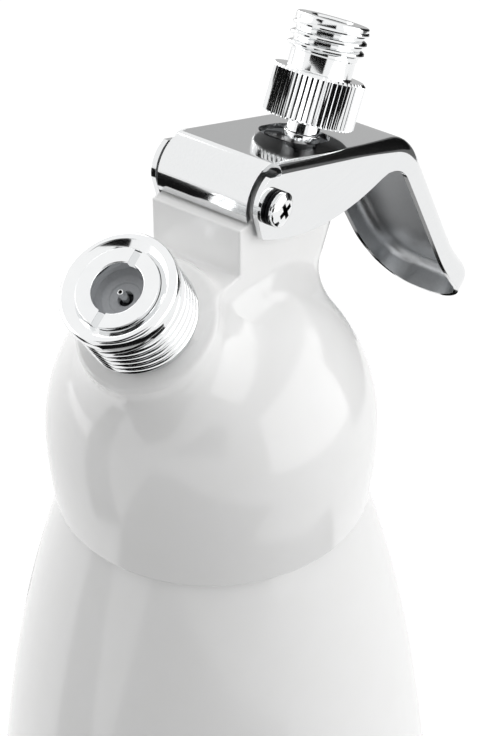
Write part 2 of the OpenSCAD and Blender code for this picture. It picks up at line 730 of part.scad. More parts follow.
module pin_holder() {
    color(dark_steel) on_inlet(holder_floor_t) difference() {
        cylinder(r = cup_r, h = holder_h);
        translate([0, 0, -over]) cylinder(r = pin_r, h = holder_h + 2 * over);
    }
}

module piercing_pin() {
    length = inlet_rim_t - pin_drop - holder_floor_t;
    color(bright_chrome) on_inlet(holder_floor_t) difference() {
        cylinder(r = pin_r, h = length);
        translate([0, 0, -over]) cylinder(r = pin_r / 2, h = length + 2 * over);
    }
}

module check_poppet() {
    color(bright_chrome) on_inlet(poppet_seat_t - face_gap - seal_h - poppet_h) rotate_extrude()
        polygon([[0, 0], [poppet_r / 2, 0], [poppet_r / 2, poppet_h - poppet_brim],
            [poppet_r, poppet_h - poppet_brim],
            [poppet_r, poppet_h], [0, poppet_h]]);
}

module poppet_seal() {
    color(grey_rubber) on_inlet(poppet_seat_t - face_gap - seal_h) cylinder(r = poppet_r, h = seal_h);
}

module check_spring() {
    from = tail_end_t + cage_h + face_gap;
    to = poppet_seat_t - seal_h - poppet_brim - 2 * face_gap;
    color(polished_steel) on_inlet(from)
        coil((poppet_r / 2 + chamber_r) / 2, check_wire, to - from, check_turns);
}

module check_cage() {
    color(bright_chrome) on_inlet(tail_end_t) ring(chamber_r, gas_hole_r, cage_h);
}

bottle();
head();
head_gasket();
guide_bush();
valve_stem();
stem_oring();
valve_gasket();
gasket_nut();
valve_spring();
nozzle_adapter();
adapter_seal();
lever();
pivot_barrel();
pivot_screw();
near_washer();
far_washer();
inlet_nipple();
nipple_oring();
slotted_ring();
charger_gasket();
pin_holder();
piercing_pin();
check_poppet();
poppet_seal();
check_spring();
check_cage();
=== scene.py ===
# %% [markdown]
# # A whipped cream dispenser: enamel, chrome and polished steel
# The object is a litre bottle with a screwed-on head. The head carries a squeeze lever,
# a tilted valve stem with a knurled nozzle adapter, and a threaded charger inlet.
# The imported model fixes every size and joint. This lesson gives each piece the smooth
# surface and the finish that the real one has, and lights it the way a studio would.

import json
import math

import bmesh
import bpy
import numpy as np
from mathutils import Matrix, Vector


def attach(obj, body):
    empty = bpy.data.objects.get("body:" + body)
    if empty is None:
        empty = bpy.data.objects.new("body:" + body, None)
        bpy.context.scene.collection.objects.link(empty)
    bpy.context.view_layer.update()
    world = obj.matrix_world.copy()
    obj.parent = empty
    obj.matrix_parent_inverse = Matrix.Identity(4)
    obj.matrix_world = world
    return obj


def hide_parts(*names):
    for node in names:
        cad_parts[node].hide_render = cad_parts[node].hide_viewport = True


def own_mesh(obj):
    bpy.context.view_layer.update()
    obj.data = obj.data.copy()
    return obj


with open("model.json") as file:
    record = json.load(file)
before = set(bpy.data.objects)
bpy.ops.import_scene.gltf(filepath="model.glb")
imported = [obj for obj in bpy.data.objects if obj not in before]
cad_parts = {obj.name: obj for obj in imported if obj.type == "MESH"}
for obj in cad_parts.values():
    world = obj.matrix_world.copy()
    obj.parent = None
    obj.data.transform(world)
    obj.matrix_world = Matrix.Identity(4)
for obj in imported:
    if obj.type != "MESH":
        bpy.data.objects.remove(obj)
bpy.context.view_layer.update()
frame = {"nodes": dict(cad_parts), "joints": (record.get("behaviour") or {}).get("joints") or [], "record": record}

# %% [markdown]
# ## Lines that everything lines up with
# A maker of such a head sets it up from four lines: the bottle's axis, the tilted axis of
# the valve stem, the leaning axis of the charger inlet, and the lever's pivot. The frame
# gives a point and a direction for each. A matrix for each line lets a piece be drawn
# upright, in millimetres, and then be laid on its line.

# %% Axes of the real object
MM = 0.001
SEAM = 215
LEVER_RAKE = 19.85
across = Vector((0, 1, 0))
mounts = {mount["name"]: mount for mount in frame["record"]["mounts"]}
joints = {joint["name"]: joint for joint in frame["joints"]}
pivot = Vector(joints["lever_squeeze"]["pos_m"])
stem_way = Vector(mounts["nozzle_lead"]["axis"]).normalized()
nozzle = Vector(mounts["nozzle_lead"]["pos_m"])
stem_foot = nozzle - stem_way * (nozzle.z - SEAM * MM) / stem_way.z
inlet_way = Vector(mounts["inlet_rim"]["axis"]).normalized()
inlet_rim = Vector(mounts["inlet_rim"]["pos_m"])
inlet_foot = inlet_rim - inlet_way * inlet_rim.x / inlet_way.x


def along(foot, way):
    """Lays a piece that was drawn upright, in millimetres, on a line from foot along way."""
    side = across.cross(way)
    turn = Matrix((side, across, way)).transposed().to_4x4()
    return Matrix.Translation(foot) @ turn @ Matrix.Scale(MM, 4)


upright = along(Vector((0, 0, 0)), Vector((0, 0, 1)))
on_stem = along(stem_foot, stem_way)
on_inlet = along(inlet_foot, inlet_way)
rake = math.radians(LEVER_RAKE)
at_pivot = along(pivot, Vector((math.sin(rake), 0, math.cos(rake))))
print("stem from", stem_foot, "inlet from", inlet_foot)

# %% [markdown]
# ## The view
# The object is seen from its inlet's side and from above, through a long lens, so the
# bottle runs out of the bottom of the picture. The camera looks at a point in the neck
# from a given azimuth and elevation, which is how a photographer would note it down.

# %% Camera
AZIMUTH = -54.74
ELEVATION = 37.06
DISTANCE = 384.1
LOOK_AT = (3.09, -4.38, 242.7)
LENS = 100.6
SENSOR = 36


def seen_from(azimuth, elevation):
    """Direction from the object to an eye at that azimuth and elevation."""
    turn, lift = math.radians(azimuth), math.radians(elevation)
    return Vector((math.sin(turn) * math.cos(lift), -math.cos(turn) * math.cos(lift), math.sin(lift)))


camera = bpy.data.objects.new("camera", bpy.data.cameras.new("camera"))
bpy.context.scene.collection.objects.link(camera)
camera.data.lens = LENS
camera.data.sensor_width = SENSOR
camera.data.clip_start = 0.01
to_eye = seen_from(AZIMUTH, ELEVATION)
camera.location = Vector(LOOK_AT) * MM + to_eye * DISTANCE * MM
camera.rotation_euler = to_eye.to_track_quat("Z", "Y").to_euler()
bpy.context.scene.camera = camera
bpy.context.scene.view_settings.view_transform = "Standard"
print("camera at", camera.location)

# %% [markdown]
# ## Colour and nodes
# Colours are written as the hex codes that a paint chart gives. Blender works in linear
# light, so one function turns them over. Another adds a node with its settings and
# links in one go, which keeps each material short enough to read.


# %% Colour and node helpers
def colour(code):
    """A paint chart's hex code as linear light."""
    parts = [int(code[i:i + 2], 16) / 255 for i in (1, 3, 5)]
    linear = [p / 12.92 if p <= 0.04045 else ((p + 0.055) / 1.055) ** 2.4 for p in parts]
    return (*linear, 1.0)


def add(tree, kind, sockets=None, **settings):
    """Adds a node. A socket given another node's output is linked, or else it is set."""
    made = tree.nodes.new(kind)
    for name, value in settings.items():
        setattr(made, name, value)
    for name, value in (sockets or {}).items():
        if isinstance(value, bpy.types.NodeSocket):
            tree.links.new(value, made.inputs[name])
        else:
            made.inputs[name].default_value = value
    return made


print("a mid grey of #808080 is", round(colour("#808080")[0], 3), "in linear light")

# %% [markdown]
# ## How a finish starts
# Every finish here has one surface shader, and its patterns are laid on the object's own
# coordinates, so that they stay put when a piece moves. Pattern sizes are thought of in
# millimetres, as they would be measured on the real thing, and turned over once here.


# %% Start of a finish
def start_finish(name):
    """An empty material: its tree, its surface shader and the place on the object in metres."""
    material = bpy.data.materials.new(name)
    material.use_nodes = True
    tree = material.node_tree
    tree.nodes.clear()
    surface = add(tree, "ShaderNodeBsdfPrincipled")
    add(tree, "ShaderNodeOutputMaterial", {"Surface": surface.outputs["BSDF"]})
    place = add(tree, "ShaderNodeTexCoord").outputs["Object"]
    return material, tree, surface, place


def per_metre(size):
    """How often a pattern of that size in millimetres repeats in a metre."""
    return 1 / (size * MM)


print("a pattern of 1 mm repeats", round(per_metre(1)), "times in a metre")

# %% [markdown]
# ## White enamel
# The bottle and the head are aluminium under a thick, glossy white baked enamel. It
# flows out smooth, with only a trace of the skin that painters call orange peel. The
# eye reads it from the crisp but slightly soft lamp reflections on a very even white.
# The peel is a faint bump, and a wide drift of tone and gloss keeps the white from looking
# like plastic.

# %% White enamel
PEEL = 1.6
DUST = 7.0
enamel, tree, surface, place = start_finish("baked_white_enamel")
drift = add(tree, "ShaderNodeTexNoise", {"Vector": place, "Scale": per_metre(DUST), "Detail": 2.0})
tint = add(tree, "ShaderNodeValToRGB", {"Fac": drift.outputs["Fac"]})
tint.color_ramp.elements[0].color = colour("#F0F0EF")
tint.color_ramp.elements[1].color = colour("#F3F3F3")
gloss = add(tree, "ShaderNodeMapRange", {"Value": drift.outputs["Fac"], "To Min": 0.11, "To Max": 0.15})
peel = add(tree, "ShaderNodeTexNoise", {"Vector": place, "Scale": per_metre(PEEL), "Detail": 1.0})
skin = add(tree, "ShaderNodeBump", {"Height": peel.outputs["Fac"], "Strength": 0.05, "Distance": 0.00003})
surface.inputs["IOR"].default_value = 1.5
tree.links.new(tint.outputs["Color"], surface.inputs["Base Color"])
tree.links.new(gloss.outputs["Result"], surface.inputs["Roughness"])
tree.links.new(skin.outputs["Normal"], surface.inputs["Normal"])
print(enamel.name, "has a peel of", PEEL, "mm")

# %% [markdown]
# ## Bright chrome
# The nozzle adapter, the inlet and the stem are turned brass with bright chrome plate.
# Chrome mirrors the room almost without blur. What tells it from glass is its faint cool
# grey and the hairlines that the lathe left under the plate, which only the gloss shows.

# %% Bright chrome
HAIRLINE = 0.35
HAZE = 4.0
chrome, tree, surface, place = start_finish("bright_chrome_plate")
haze = add(tree, "ShaderNodeTexNoise", {"Vector": place, "Scale": per_metre(HAZE), "Detail": 3.0})
tint = add(tree, "ShaderNodeValToRGB", {"Fac": haze.outputs["Fac"]})
tint.color_ramp.elements[0].color = colour("#E8E9EA")
tint.color_ramp.elements[1].color = colour("#F0F1F1")
blur = add(tree, "ShaderNodeMapRange", {"Value": haze.outputs["Fac"], "To Min": 0.07, "To Max": 0.12})
lines = add(tree, "ShaderNodeTexNoise", {"Vector": place, "Scale": per_metre(HAIRLINE), "Detail": 2.0})
turned = add(tree, "ShaderNodeBump", {"Height": lines.outputs["Fac"], "Strength": 0.04, "Distance": 0.00001})
surface.inputs["Metallic"].default_value = 1.0
tree.links.new(tint.outputs["Color"], surface.inputs["Base Color"])
tree.links.new(blur.outputs["Result"], surface.inputs["Roughness"])
tree.links.new(turned.outputs["Normal"], surface.inputs["Normal"])
print(chrome.name, "has hairlines of", HAIRLINE, "mm")

# %% [markdown]
# ## Polished stainless sheet
# The lever is stainless sheet, buffed along its length after folding. It mirrors what
# stands close to it, and blurs what is far, mostly across the buffing lines. The lines
# are a noise that is stretched along the lever, so they follow how the wheel ran.

# %% Polished stainless sheet
BUFF_ACROSS = 0.25
BUFF_ALONG = 9.0
steel, tree, surface, place = start_finish("buffed_stainless_sheet")
laid = add(tree, "ShaderNodeMapping", {"Vector": place, "Rotation": (0, -rake, 0)})
laid.inputs["Scale"].default_value = (per_metre(BUFF_ALONG), per_metre(BUFF_ACROSS), per_metre(BUFF_ACROSS))
lines = add(tree, "ShaderNodeTexNoise", {"Vector": laid.outputs["Vector"], "Scale": 1.0, "Detail": 3.0})
tint = add(tree, "ShaderNodeValToRGB", {"Fac": lines.outputs["Fac"]})
tint.color_ramp.elements[0].color = colour("#E2E3E4")
tint.color_ramp.elements[1].color = colour("#EAEBEB")
blur = add(tree, "ShaderNodeMapRange", {"Value": lines.outputs["Fac"], "To Min": 0.06, "To Max": 0.11})
buffed = add(tree, "ShaderNodeBump", {"Height": lines.outputs["Fac"], "Strength": 0.03, "Distance": 0.00001})
surface.inputs["Metallic"].default_value = 1.0
tree.links.new(tint.outputs["Color"], surface.inputs["Base Color"])
tree.links.new(blur.outputs["Result"], surface.inputs["Roughness"])
tree.links.new(buffed.outputs["Normal"], surface.inputs["Normal"])
print(steel.name, "is buffed every", BUFF_ACROSS, "mm")

# %% [markdown]
# ## The sheet's rolled inside
# Only the outside of the lever was buffed. Its inside keeps the dull skin of the rolling
# mill, with its fine pits, so it shows soft shades where the outside shows edges. Its darker
# colour is painted shade, for the underside that faces away from the lamps. A dark metal
# with a wide blur gives that, and it sets the two sides apart.

# %% Rolled inside
PITS = 0.6
mill_skin_and_shade, tree, surface, place = start_finish("rolled_skin_and_painted_shade")
pits = add(tree, "ShaderNodeTexNoise", {"Vector": place, "Scale": per_metre(PITS), "Detail": 3.0})
tint = add(tree, "ShaderNodeValToRGB", {"Fac": pits.outputs["Fac"]})
# Darker than the buffed outside: painted shade for the lever's underside.
tint.color_ramp.elements[0].color = colour("#B0B2B4")
tint.color_ramp.elements[1].color = colour("#C0C2C4")
blur = add(tree, "ShaderNodeMapRange", {"Value": pits.outputs["Fac"], "To Min": 0.3, "To Max": 0.4})
surface.inputs["Metallic"].default_value = 1.0
tree.links.new(tint.outputs["Color"], surface.inputs["Base Color"])
tree.links.new(blur.outputs["Result"], surface.inputs["Roughness"])
print(mill_skin_and_shade.name, "has pits of", PITS, "mm")

# %% [markdown]
# ## Drawn stainless wire
# The springs are stainless wire, pulled through a die. That leaves it greyer and duller
# than the buffed sheet, so the light on a coil is a soft streak and not a mirror image.

# %% Drawn wire
DRAW = 0.4
wire, tree, surface, place = start_finish("drawn_stainless_wire")
draw = add(tree, "ShaderNodeTexNoise", {"Vector": place, "Scale": per_metre(DRAW), "Detail": 2.0})
tint = add(tree, "ShaderNodeValToRGB", {"Fac": draw.outputs["Fac"]})
tint.color_ramp.elements[0].color = colour("#8E9093")
tint.color_ramp.elements[1].color = colour("#A9ABAE")
surface.inputs["Metallic"].default_value = 1.0
surface.inputs["Roughness"].default_value = 0.28
tree.links.new(tint.outputs["Color"], surface.inputs["Base Color"])
print(wire.name, "has draw marks of", DRAW, "mm")

# %% [markdown]
# ## Oxidised dark steel
# The washers and the pin's holder are steel with a thick, nearly black oxide. It has a
# cloudy bloom and a low, broad gloss, so it reads as a dark line beside the bright chrome.
# The same finish is also painted on some faces of the chromed pieces, as painted shade.

# %% Oxidised dark steel
BLOOM = 1.2
dark, tree, surface, place = start_finish("oxidised_dark_steel_and_painted_shade")
bloom = add(tree, "ShaderNodeTexNoise", {"Vector": place, "Scale": per_metre(BLOOM), "Detail": 3.0})
tint = add(tree, "ShaderNodeValToRGB", {"Fac": bloom.outputs["Fac"]})
tint.color_ramp.elements[0].color = colour("#131415")
tint.color_ramp.elements[1].color = colour("#232426")
blur = add(tree, "ShaderNodeMapRange", {"Value": bloom.outputs["Fac"], "To Min": 0.25, "To Max": 0.4})
surface.inputs["Metallic"].default_value = 1.0
tree.links.new(tint.outputs["Color"], surface.inputs["Base Color"])
tree.links.new(blur.outputs["Result"], surface.inputs["Roughness"])
print(dark.name, "has a bloom of", BLOOM, "mm")

# %% [markdown]
# ## Moulded grey silicone
# The seals are silicone from a blasted mould. The mould leaves a fine grain, and the
# rubber itself is matt with a soft sheen. The grain is drawn as a bump of half a
# millimetre, which is coarser than the real one, because a finer one would not show.

# %% Moulded silicone
GRAIN = 0.5
silicone, tree, surface, place = start_finish("moulded_grey_silicone")
grain = add(tree, "ShaderNodeTexNoise", {"Vector": place, "Scale": per_metre(GRAIN), "Detail": 3.0})
tint = add(tree, "ShaderNodeValToRGB", {"Fac": grain.outputs["Fac"]})
tint.color_ramp.elements[0].color = colour("#95979A")
tint.color_ramp.elements[1].color = colour("#A6A8AB")
mould = add(tree, "ShaderNodeBump", {"Height": grain.outputs["Fac"], "Strength": 0.2, "Distance": 0.00003})
surface.inputs["Roughness"].default_value = 0.55
tree.links.new(tint.outputs["Color"], surface.inputs["Base Color"])
tree.links.new(mould.outputs["Normal"], surface.inputs["Normal"])
print(silicone.name, "has a grain of", GRAIN, "mm")

# %% [markdown]
# ## Pieces that stay as they are
# Much of what is held inside, such as the gaskets, the O-rings, the guide bush and the
# check valve's poppet and cage, has its right shape already. Those nodes keep their mesh.
# Every node takes the finish of its slot here, and the ones that get a new piece hide.

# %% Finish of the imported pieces
FINISHES = {"white_enamel": enamel, "bright_chrome": chrome, "polished_steel": steel,
            "spring_steel": wire, "dark_steel": dark, "grey_rubber": silicone}
slots = {part["node"]: part["material_slot"] for part in frame["record"]["subparts"]}
for node, slot in slots.items():
    mesh = frame["nodes"][node].data
    mesh.materials.clear()
    mesh.materials.append(FINISHES[slot])
bodies = frame["record"]["behaviour"]["bodies"]
body_of_node = {node: body for body, nodes in bodies.items() for node in nodes}
print(len(slots), "nodes have a finish")

# %% [markdown]
# ## How a new piece joins the frame
# A mesh that stands for a node rides on the node's body, takes the finish of the node's slot,
# and hides it. Smooth shading stops at real edges, which are marked by their angle. Some
# faces of the chromed pieces are painted dark, as painted shade in their recesses and under
# their overhangs. They are found by their place on the piece's own line.


# %% Piece helpers
EDGE_ANGLE = 34


def piece(name, shape, node, edge_angle=EDGE_ANGLE):
    """Turns a finished bmesh into the piece that stands for that node."""
    mesh = bpy.data.meshes.new(name)
    shape.to_mesh(mesh)
    shape.free()
    made = bpy.data.objects.new(name, mesh)
    bpy.context.scene.collection.objects.link(made)
    dress(made, node, edge_angle)
    return made


def dress(made, node, edge_angle=EDGE_ANGLE):
    """Gives a mesh object its shading and finish, and its place in the frame."""
    made.data.materials.clear()
    made.data.materials.append(FINISHES[slots[node]])
    made.data.shade_smooth()
    made.data.set_sharp_from_angle(angle=math.radians(edge_angle))
    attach(made, body_of_node[node])
    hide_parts(node)
    print(made.name, "has", len(made.data.polygons), "faces")


def paint_shade_on(made, line, where):
    """Paints the chosen faces with the dark steel, as painted shade."""
    made.data.materials.append(dark)
    for face in made.data.polygons:
        if where(line.inverted() @ face.center):
            face.material_index = 1


def close(shape):
    """Merges doubles and turns every face outwards."""
    bmesh.ops.remove_doubles(shape, verts=shape.verts, dist=0.0005)
    bmesh.ops.recalc_face_normals(shape, faces=shape.faces)
    return shape


print("edges sharper than", EDGE_ANGLE, "degrees stay sharp")

# %% [markdown]
# ## Turned work
# Most of the metal was made on a lathe. A turned piece is one outline, spun round its
# axis. The outline is written as its corners, each with the radius that the tool or the
# deburring left there, because a real edge is never perfectly sharp and its highlight
# is what the eye looks for on metal.


# %% Lathe
ROUND_STEPS = 5


def rounded(corners, steps=ROUND_STEPS):
    """Outline through corners of (x, y) or (x, y, radius), with an arc at each radius."""
    points = []
    for i, corner in enumerate(corners):
        here = Vector(corner[:2])
        radius = corner[2] if len(corner) > 2 else 0
        if not radius:
            points.append(here)
            continue
        back = (Vector(corners[i - 1][:2]) - here).normalized()
        on = (Vector(corners[(i + 1) % len(corners)][:2]) - here).normalized()
        half = back.angle(on) / 2
        centre = here + (back + on).normalized() * radius / math.sin(half)
        first = here + back * radius / math.tan(half) - centre
        last = here + on * radius / math.tan(half) - centre
        sweep = first.angle(last)
        for k in range(steps + 1):
            u = k / steps
            arc = first * math.sin((1 - u) * sweep) + last * math.sin(u * sweep)
            points.append(centre + arc / math.sin(sweep))
    return points


def lathe(corners, closed=False, steps=160, arc_steps=ROUND_STEPS):
    """Spins an outline of (radius, height) corners once round the axis."""
    shape = bmesh.new()
    row = [shape.verts.new((p.x, 0, p.y)) for p in rounded(corners, arc_steps)]
    lines = [shape.edges.new(pair) for pair in zip(row, row[1:])]
    if closed:
        lines.append(shape.edges.new((row[-1], row[0])))
    bmesh.ops.spin(shape, geom=row + lines, cent=(0, 0, 0), axis=(0, 0, 1),
                   angle=math.tau, steps=steps, use_merge=True)
    return close(shape)


print("a square corner rounded off has", len(rounded([(0, 0), (1, 0, 0.2), (1, 1)])) - 2, "points")

# %% [markdown]
# ## Threads
# A thread is one ridge that climbs a pitch with each turn and fades out at both ends,
# where the tool ran in and out. The ridge's section is spun with a rise at each step.
# Its root lies just under the core's surface, so the two read as one turned piece.


# %% Thread ridge
THREAD_STEPS = 72


def thread(section, turns, pitch, start=0, fade=0.2):
    """A ridge that winds the section of (radius, height) points up the axis."""
    shape = bmesh.new()
    row = [shape.verts.new((x, 0, y)) for x, y in section]
    lines = [shape.edges.new((row[i - 1], row[i])) for i in range(len(row))]
    steps = round(turns * THREAD_STEPS)
    bmesh.ops.spin(shape, geom=row + lines, cent=(0, 0, 0), axis=(0, 0, 1), angle=math.tau * turns,
                   steps=steps, dvec=(0, 0, pitch / THREAD_STEPS))
    wound = list(shape.verts)
    deepest = section[0][0]
    for i, v in enumerate(wound):
        done = i // len(row) / steps * turns
        share = min(1, done / fade, (turns - done) / fade) if fade else 1
        flat = Vector((v.co.x, v.co.y, 0))
        v.co -= flat.normalized() * (flat.length - deepest) * (1 - share)
        v.co.z += start
    shape.faces.new(wound[:len(row)])
    shape.faces.new(wound[-len(row):])
    bmesh.ops.recalc_face_normals(shape, faces=shape.faces)
    return shape


def with_thread(core, ridge):
    """Puts a wound ridge on its turned core."""
    mesh = bpy.data.meshes.new("ridge")
    ridge.to_mesh(mesh)
    ridge.free()
    core.from_mesh(mesh)
    bpy.data.meshes.remove(mesh)
    return core


print("a thread has", THREAD_STEPS, "steps to a turn")

# %% [markdown]
# ## The bottle
# It was drawn from one slug of aluminium, so its wall runs without a seam from the base
# over the shoulder to the mouth. The side is one long curve. It is spun as a closed
# outline, outside and inside, so that the opening shows a real wall when the head is off.

# %% The bottle's side
BOTTLE_R = 48
WALL = 2
SIDE_H = 85
SHOULDER_R = 29.4
SIDE_PULL = 0.385
SHOULDER_PULL = (12.1, -35)
SIDE_STEPS = 48


def side(wall):
    """The bottle's side from the straight part up to the shoulder, set in by a wall."""
    ends = [Vector((BOTTLE_R - wall, SIDE_H)), Vector((SHOULDER_R - wall, SEAM))]
    pulls = [Vector((BOTTLE_R - wall, SIDE_H + SIDE_PULL * (SEAM - SIDE_H))), ends[1] + Vector(SHOULDER_PULL)]
    curve = []
    for k in range(SIDE_STEPS + 1):
        u = k / SIDE_STEPS
        curve.append(ends[0] * (1 - u) ** 3 + pulls[0] * 3 * u * (1 - u) ** 2
                     + pulls[1] * 3 * u * u * (1 - u) + ends[1] * u ** 3)
    return [tuple(p) for p in curve]


print("the side narrows from", BOTTLE_R, "to", SHOULDER_R, "mm")

# %% [markdown]
# ## The bottle's mouth and wall
# Above the seam the slug was drawn in to a narrow mouth, and a coarse thread was rolled
# into it for the head. The outline goes up the outside, over the mouth and down the
# inside at the wall's distance, so one spin makes the whole vessel.

# %% Bottle
BASE_ROUND = 9
LEDGE_R = 27.2
MOUTH_R = 24.8
MOUTH_INNER_R = MOUTH_R - 1.8
MOUTH_TOP = SEAM + 16.5
MOUTH_PITCH = 3
MOUTH_TURNS = 3.6
outside = [(0, 0), (BOTTLE_R, 0, BASE_ROUND), *side(0), (LEDGE_R, SEAM + 0.05, 0.4),
           (MOUTH_R, SEAM + 1, 0.8), (MOUTH_R, MOUTH_TOP, 0.5), (MOUTH_INNER_R, MOUTH_TOP, 0.5)]
inside = [(MOUTH_INNER_R, SEAM - 1), *reversed(side(WALL)),
          (BOTTLE_R - WALL, WALL, BASE_ROUND - WALL), (0, WALL)]
vessel = lathe(outside + inside, steps=192, arc_steps=12)
root_r = MOUTH_R - 0.15
crest_r = MOUTH_R + 0.75
mouth_ridge = [(root_r, 0), (crest_r, 0.75), (crest_r, 1.3), (root_r, 2.1)]
with_thread(vessel, thread(mouth_ridge, MOUTH_TURNS, MOUTH_PITCH, start=SEAM + 2.9))
bmesh.ops.transform(vessel, matrix=upright, verts=vessel.verts)
piece("bottle_body", vessel, "bottle")

# %% [markdown]
# ## The head's form
# The head is a casting: a dome that flows into a neck and into a boss for the inlet, with
# soft fillets where they meet and tighter edges where they were machined flat. Modelling
# such blends edge by edge is slow. A sculptor would rough it out and then rub it smooth,
# and this does the same: the form is written as one function that is zero on the skin,
# and a remeshed copy of the rough head is settled onto it.


# %% Blends for the head
def join(a, b, fillet):
    """Both forms, with a round fillet of that radius where they meet."""
    corner = np.hypot(np.maximum(fillet - a, 0), np.maximum(fillet - b, 0))
    return np.maximum(fillet, np.minimum(a, b)) - corner


def trim(a, b, edge):
    """The space that both forms share, with an edge rounded to that radius."""
    corner = np.hypot(np.maximum(edge + a, 0), np.maximum(edge + b, 0))
    return np.minimum(-edge, np.maximum(a, b)) + corner


def line_frame(points, foot, way):
    """Distance from a tilted axis, distance along it, and the offset in the object's plane."""
    side_way = np.array(across.cross(way))
    offset = points - np.array(foot)
    run = offset @ np.array(way)
    out = offset @ side_way
    return np.hypot(out, offset[:, 1]), run, out


def plug(radius, run, r, low, high):
    """A straight round bore or boss on an axis."""
    return np.maximum(radius - r, np.abs(run - (low + high) / 2) - (high - low) / 2)


print("an edge of 1 mm takes", round(float(trim(np.zeros(1), np.zeros(1), 1.0)[0]), 3), "mm off a corner")

# %% [markdown]
# ## The outside of the head
# Five forms meet here. The dome is a short cylinder that rounds over into half an
# ellipsoid. The neck is flat in front and on its flanks, and round behind, about the
# stem. A lug on it carries the pivot. The boss is a round stub on the inlet's line, and a
# shelf joins it to the neck. The fillet towards the dome is wider in front than behind.

# %% The dome
RIM_R = 30.5
DOME_R = 31.6
DOME_MID = 15
DOME_TOP = 49
RIM_LIFT = 0.4
RIM_EDGE = 0.7


def dome_form(radius, z):
    """A cylinder that swells a little, under half an ellipsoid."""
    side_r = RIM_R + (DOME_R - RIM_R) * np.sin(math.pi / 2 * np.clip(z / DOME_MID, 0, 1))
    up = z - DOME_MID
    dome_h = DOME_TOP - DOME_MID
    stretch = np.sqrt((radius / DOME_R) ** 2 + (up / dome_h) ** 2)
    slope = np.sqrt((radius / DOME_R ** 2) ** 2 + (up / dome_h ** 2) ** 2) + 1e-9
    dome = np.where(up < 0, radius - side_r, stretch * (stretch - 1) / slope)
    return trim(dome, RIM_LIFT - z, RIM_EDGE)


print("the dome is", DOME_TOP, "mm high over the seam")

# %% Neck, lug, boss and shelf
NECK_HALF = 9.6
NECK_FRONT = -4.3
NECK_EDGE = 0.45
STEP_H = 64
NECK_TOP = 64.85
TOP_EDGE = 0.35
LUG_R = 4.4
LUG_EDGE = 0.3
BOSS_R = 13.4
BOSS_FOOT = 17
BOSS_FACE = 36
BOSS_EDGE = 1.0
SHELF_H = 54.5
SHELF_FROM = -19
SHELF_TO = 5
SHELF_EDGE = 0.5
SHELF_FACE_EDGE = 0.6
SHELF_FILLET = 1.5


def neck_form(x, y, z, stem):
    """The neck with its lug for the pivot."""
    stem_r, stem_run, stem_out = stem
    flanks = np.where(stem_out < 0, np.abs(y) - NECK_HALF, stem_r - NECK_HALF)
    top = np.maximum(z - STEP_H, stem_run - NECK_TOP)
    neck = trim(trim(flanks, NECK_FRONT - x, NECK_EDGE), top, TOP_EDGE)
    lug = np.hypot(x - pivot.x / MM, z - (pivot.z / MM - SEAM)) - LUG_R
    return np.minimum(neck, trim(lug, np.abs(y) - NECK_HALF, LUG_EDGE))


def inlet_form(x, y, z, inlet):
    """The boss under the inlet, and the shelf from it to the neck."""
    boss_r, boss_run, _ = inlet
    boss = trim(trim(boss_r - BOSS_R, boss_run - BOSS_FACE, BOSS_EDGE), BOSS_FOOT - boss_run, BOSS_EDGE)
    shelf = trim(trim(np.abs(y) - NECK_HALF, z - SHELF_H, SHELF_EDGE), boss_run - BOSS_FACE, SHELF_FACE_EDGE)
    shelf = np.maximum(trim(shelf, SHELF_FROM - x, SHELF_EDGE), x - SHELF_TO)
    return join(boss, shelf, SHELF_FILLET)


print("the neck is", 2 * NECK_HALF, "mm wide, the boss", 2 * BOSS_R, "mm")

# %% The whole outside
SLIM_FILLET = 4.5
WIDE_FILLET = 6.0
FILLET_FROM = 2
FILLET_RUN = 10
NECK_CREASE = 0.5


def outer_skin(p, stem, inlet):
    """All of the outside, blended as it is on the casting."""
    x, y, z = p[:, 0], p[:, 1], p[:, 2] - SEAM
    dome = dome_form(np.hypot(x, y), z)
    neck = neck_form(x, y, z, stem)
    front = inlet_form(x, y, z, inlet)
    fillet = SLIM_FILLET + (WIDE_FILLET - SLIM_FILLET) * np.clip((FILLET_FROM - x) / FILLET_RUN, 0, 1)
    blends = [join(front, dome, fillet), join(neck, dome, fillet), join(front, neck, NECK_CREASE)]
    return np.minimum(np.minimum(blends[0], blends[1]), blends[2])


print("the fillet goes from", WIDE_FILLET, "mm in front to", SLIM_FILLET, "mm behind")

# %% [markdown]
# ## The inside of the head
# The casting was bored out from below for the bottle's mouth, and along both tilted lines
# for the valve and the inlet. The pivot was drilled across. These bores are taken away
# from the form, so the opening underneath is real when the head is lifted off.

# %% Bores of the head
SOCKET_R = 26.7
SOCKET_TOP = 18.6
SOCKET_FOOT = -3
VAULT_R = 22
VAULT_H = 14
VALVE_ROOM = (8.0, 23.2, 35.9)
BUSH_BORE = (5.2, 33.5, 64.8)
WELL_FLOOR = 53.05
SPRING_WELL = (5.6, WELL_FLOOR, 67)
INLET_BORE = (6.3, 9, 38)
PIVOT_R = 2
PIVOT_HALF = 12


def hollows(p, stem, inlet):
    """What was bored out of the casting: socket, dome, stem, inlet and pivot."""
    x, y, z = p[:, 0], p[:, 1], p[:, 2] - SEAM
    radius = np.hypot(x, y)
    socket = np.maximum(radius - SOCKET_R, np.maximum(z - SOCKET_TOP, SOCKET_FOOT - z))
    up = z - SOCKET_TOP
    stretch = np.sqrt((radius / VAULT_R) ** 2 + (up / VAULT_H) ** 2)
    vault = np.maximum((stretch - 1) * VAULT_H, -0.5 - up)
    stem_r, stem_run, _ = stem
    inlet_r, inlet_run, _ = inlet
    drill = np.hypot(x - pivot.x / MM, z - (pivot.z / MM - SEAM))
    bores = [vault, *(plug(stem_r, stem_run, *bore) for bore in (VALVE_ROOM, BUSH_BORE, SPRING_WELL)),
             plug(inlet_r, inlet_run, *INLET_BORE), np.maximum(drill - PIVOT_R, np.abs(y) - PIVOT_HALF)]
    cut_away = socket
    for bore in bores:
        cut_away = np.minimum(cut_away, bore)
    return cut_away


print("the socket for the bottle is", 2 * SOCKET_R, "mm wide")

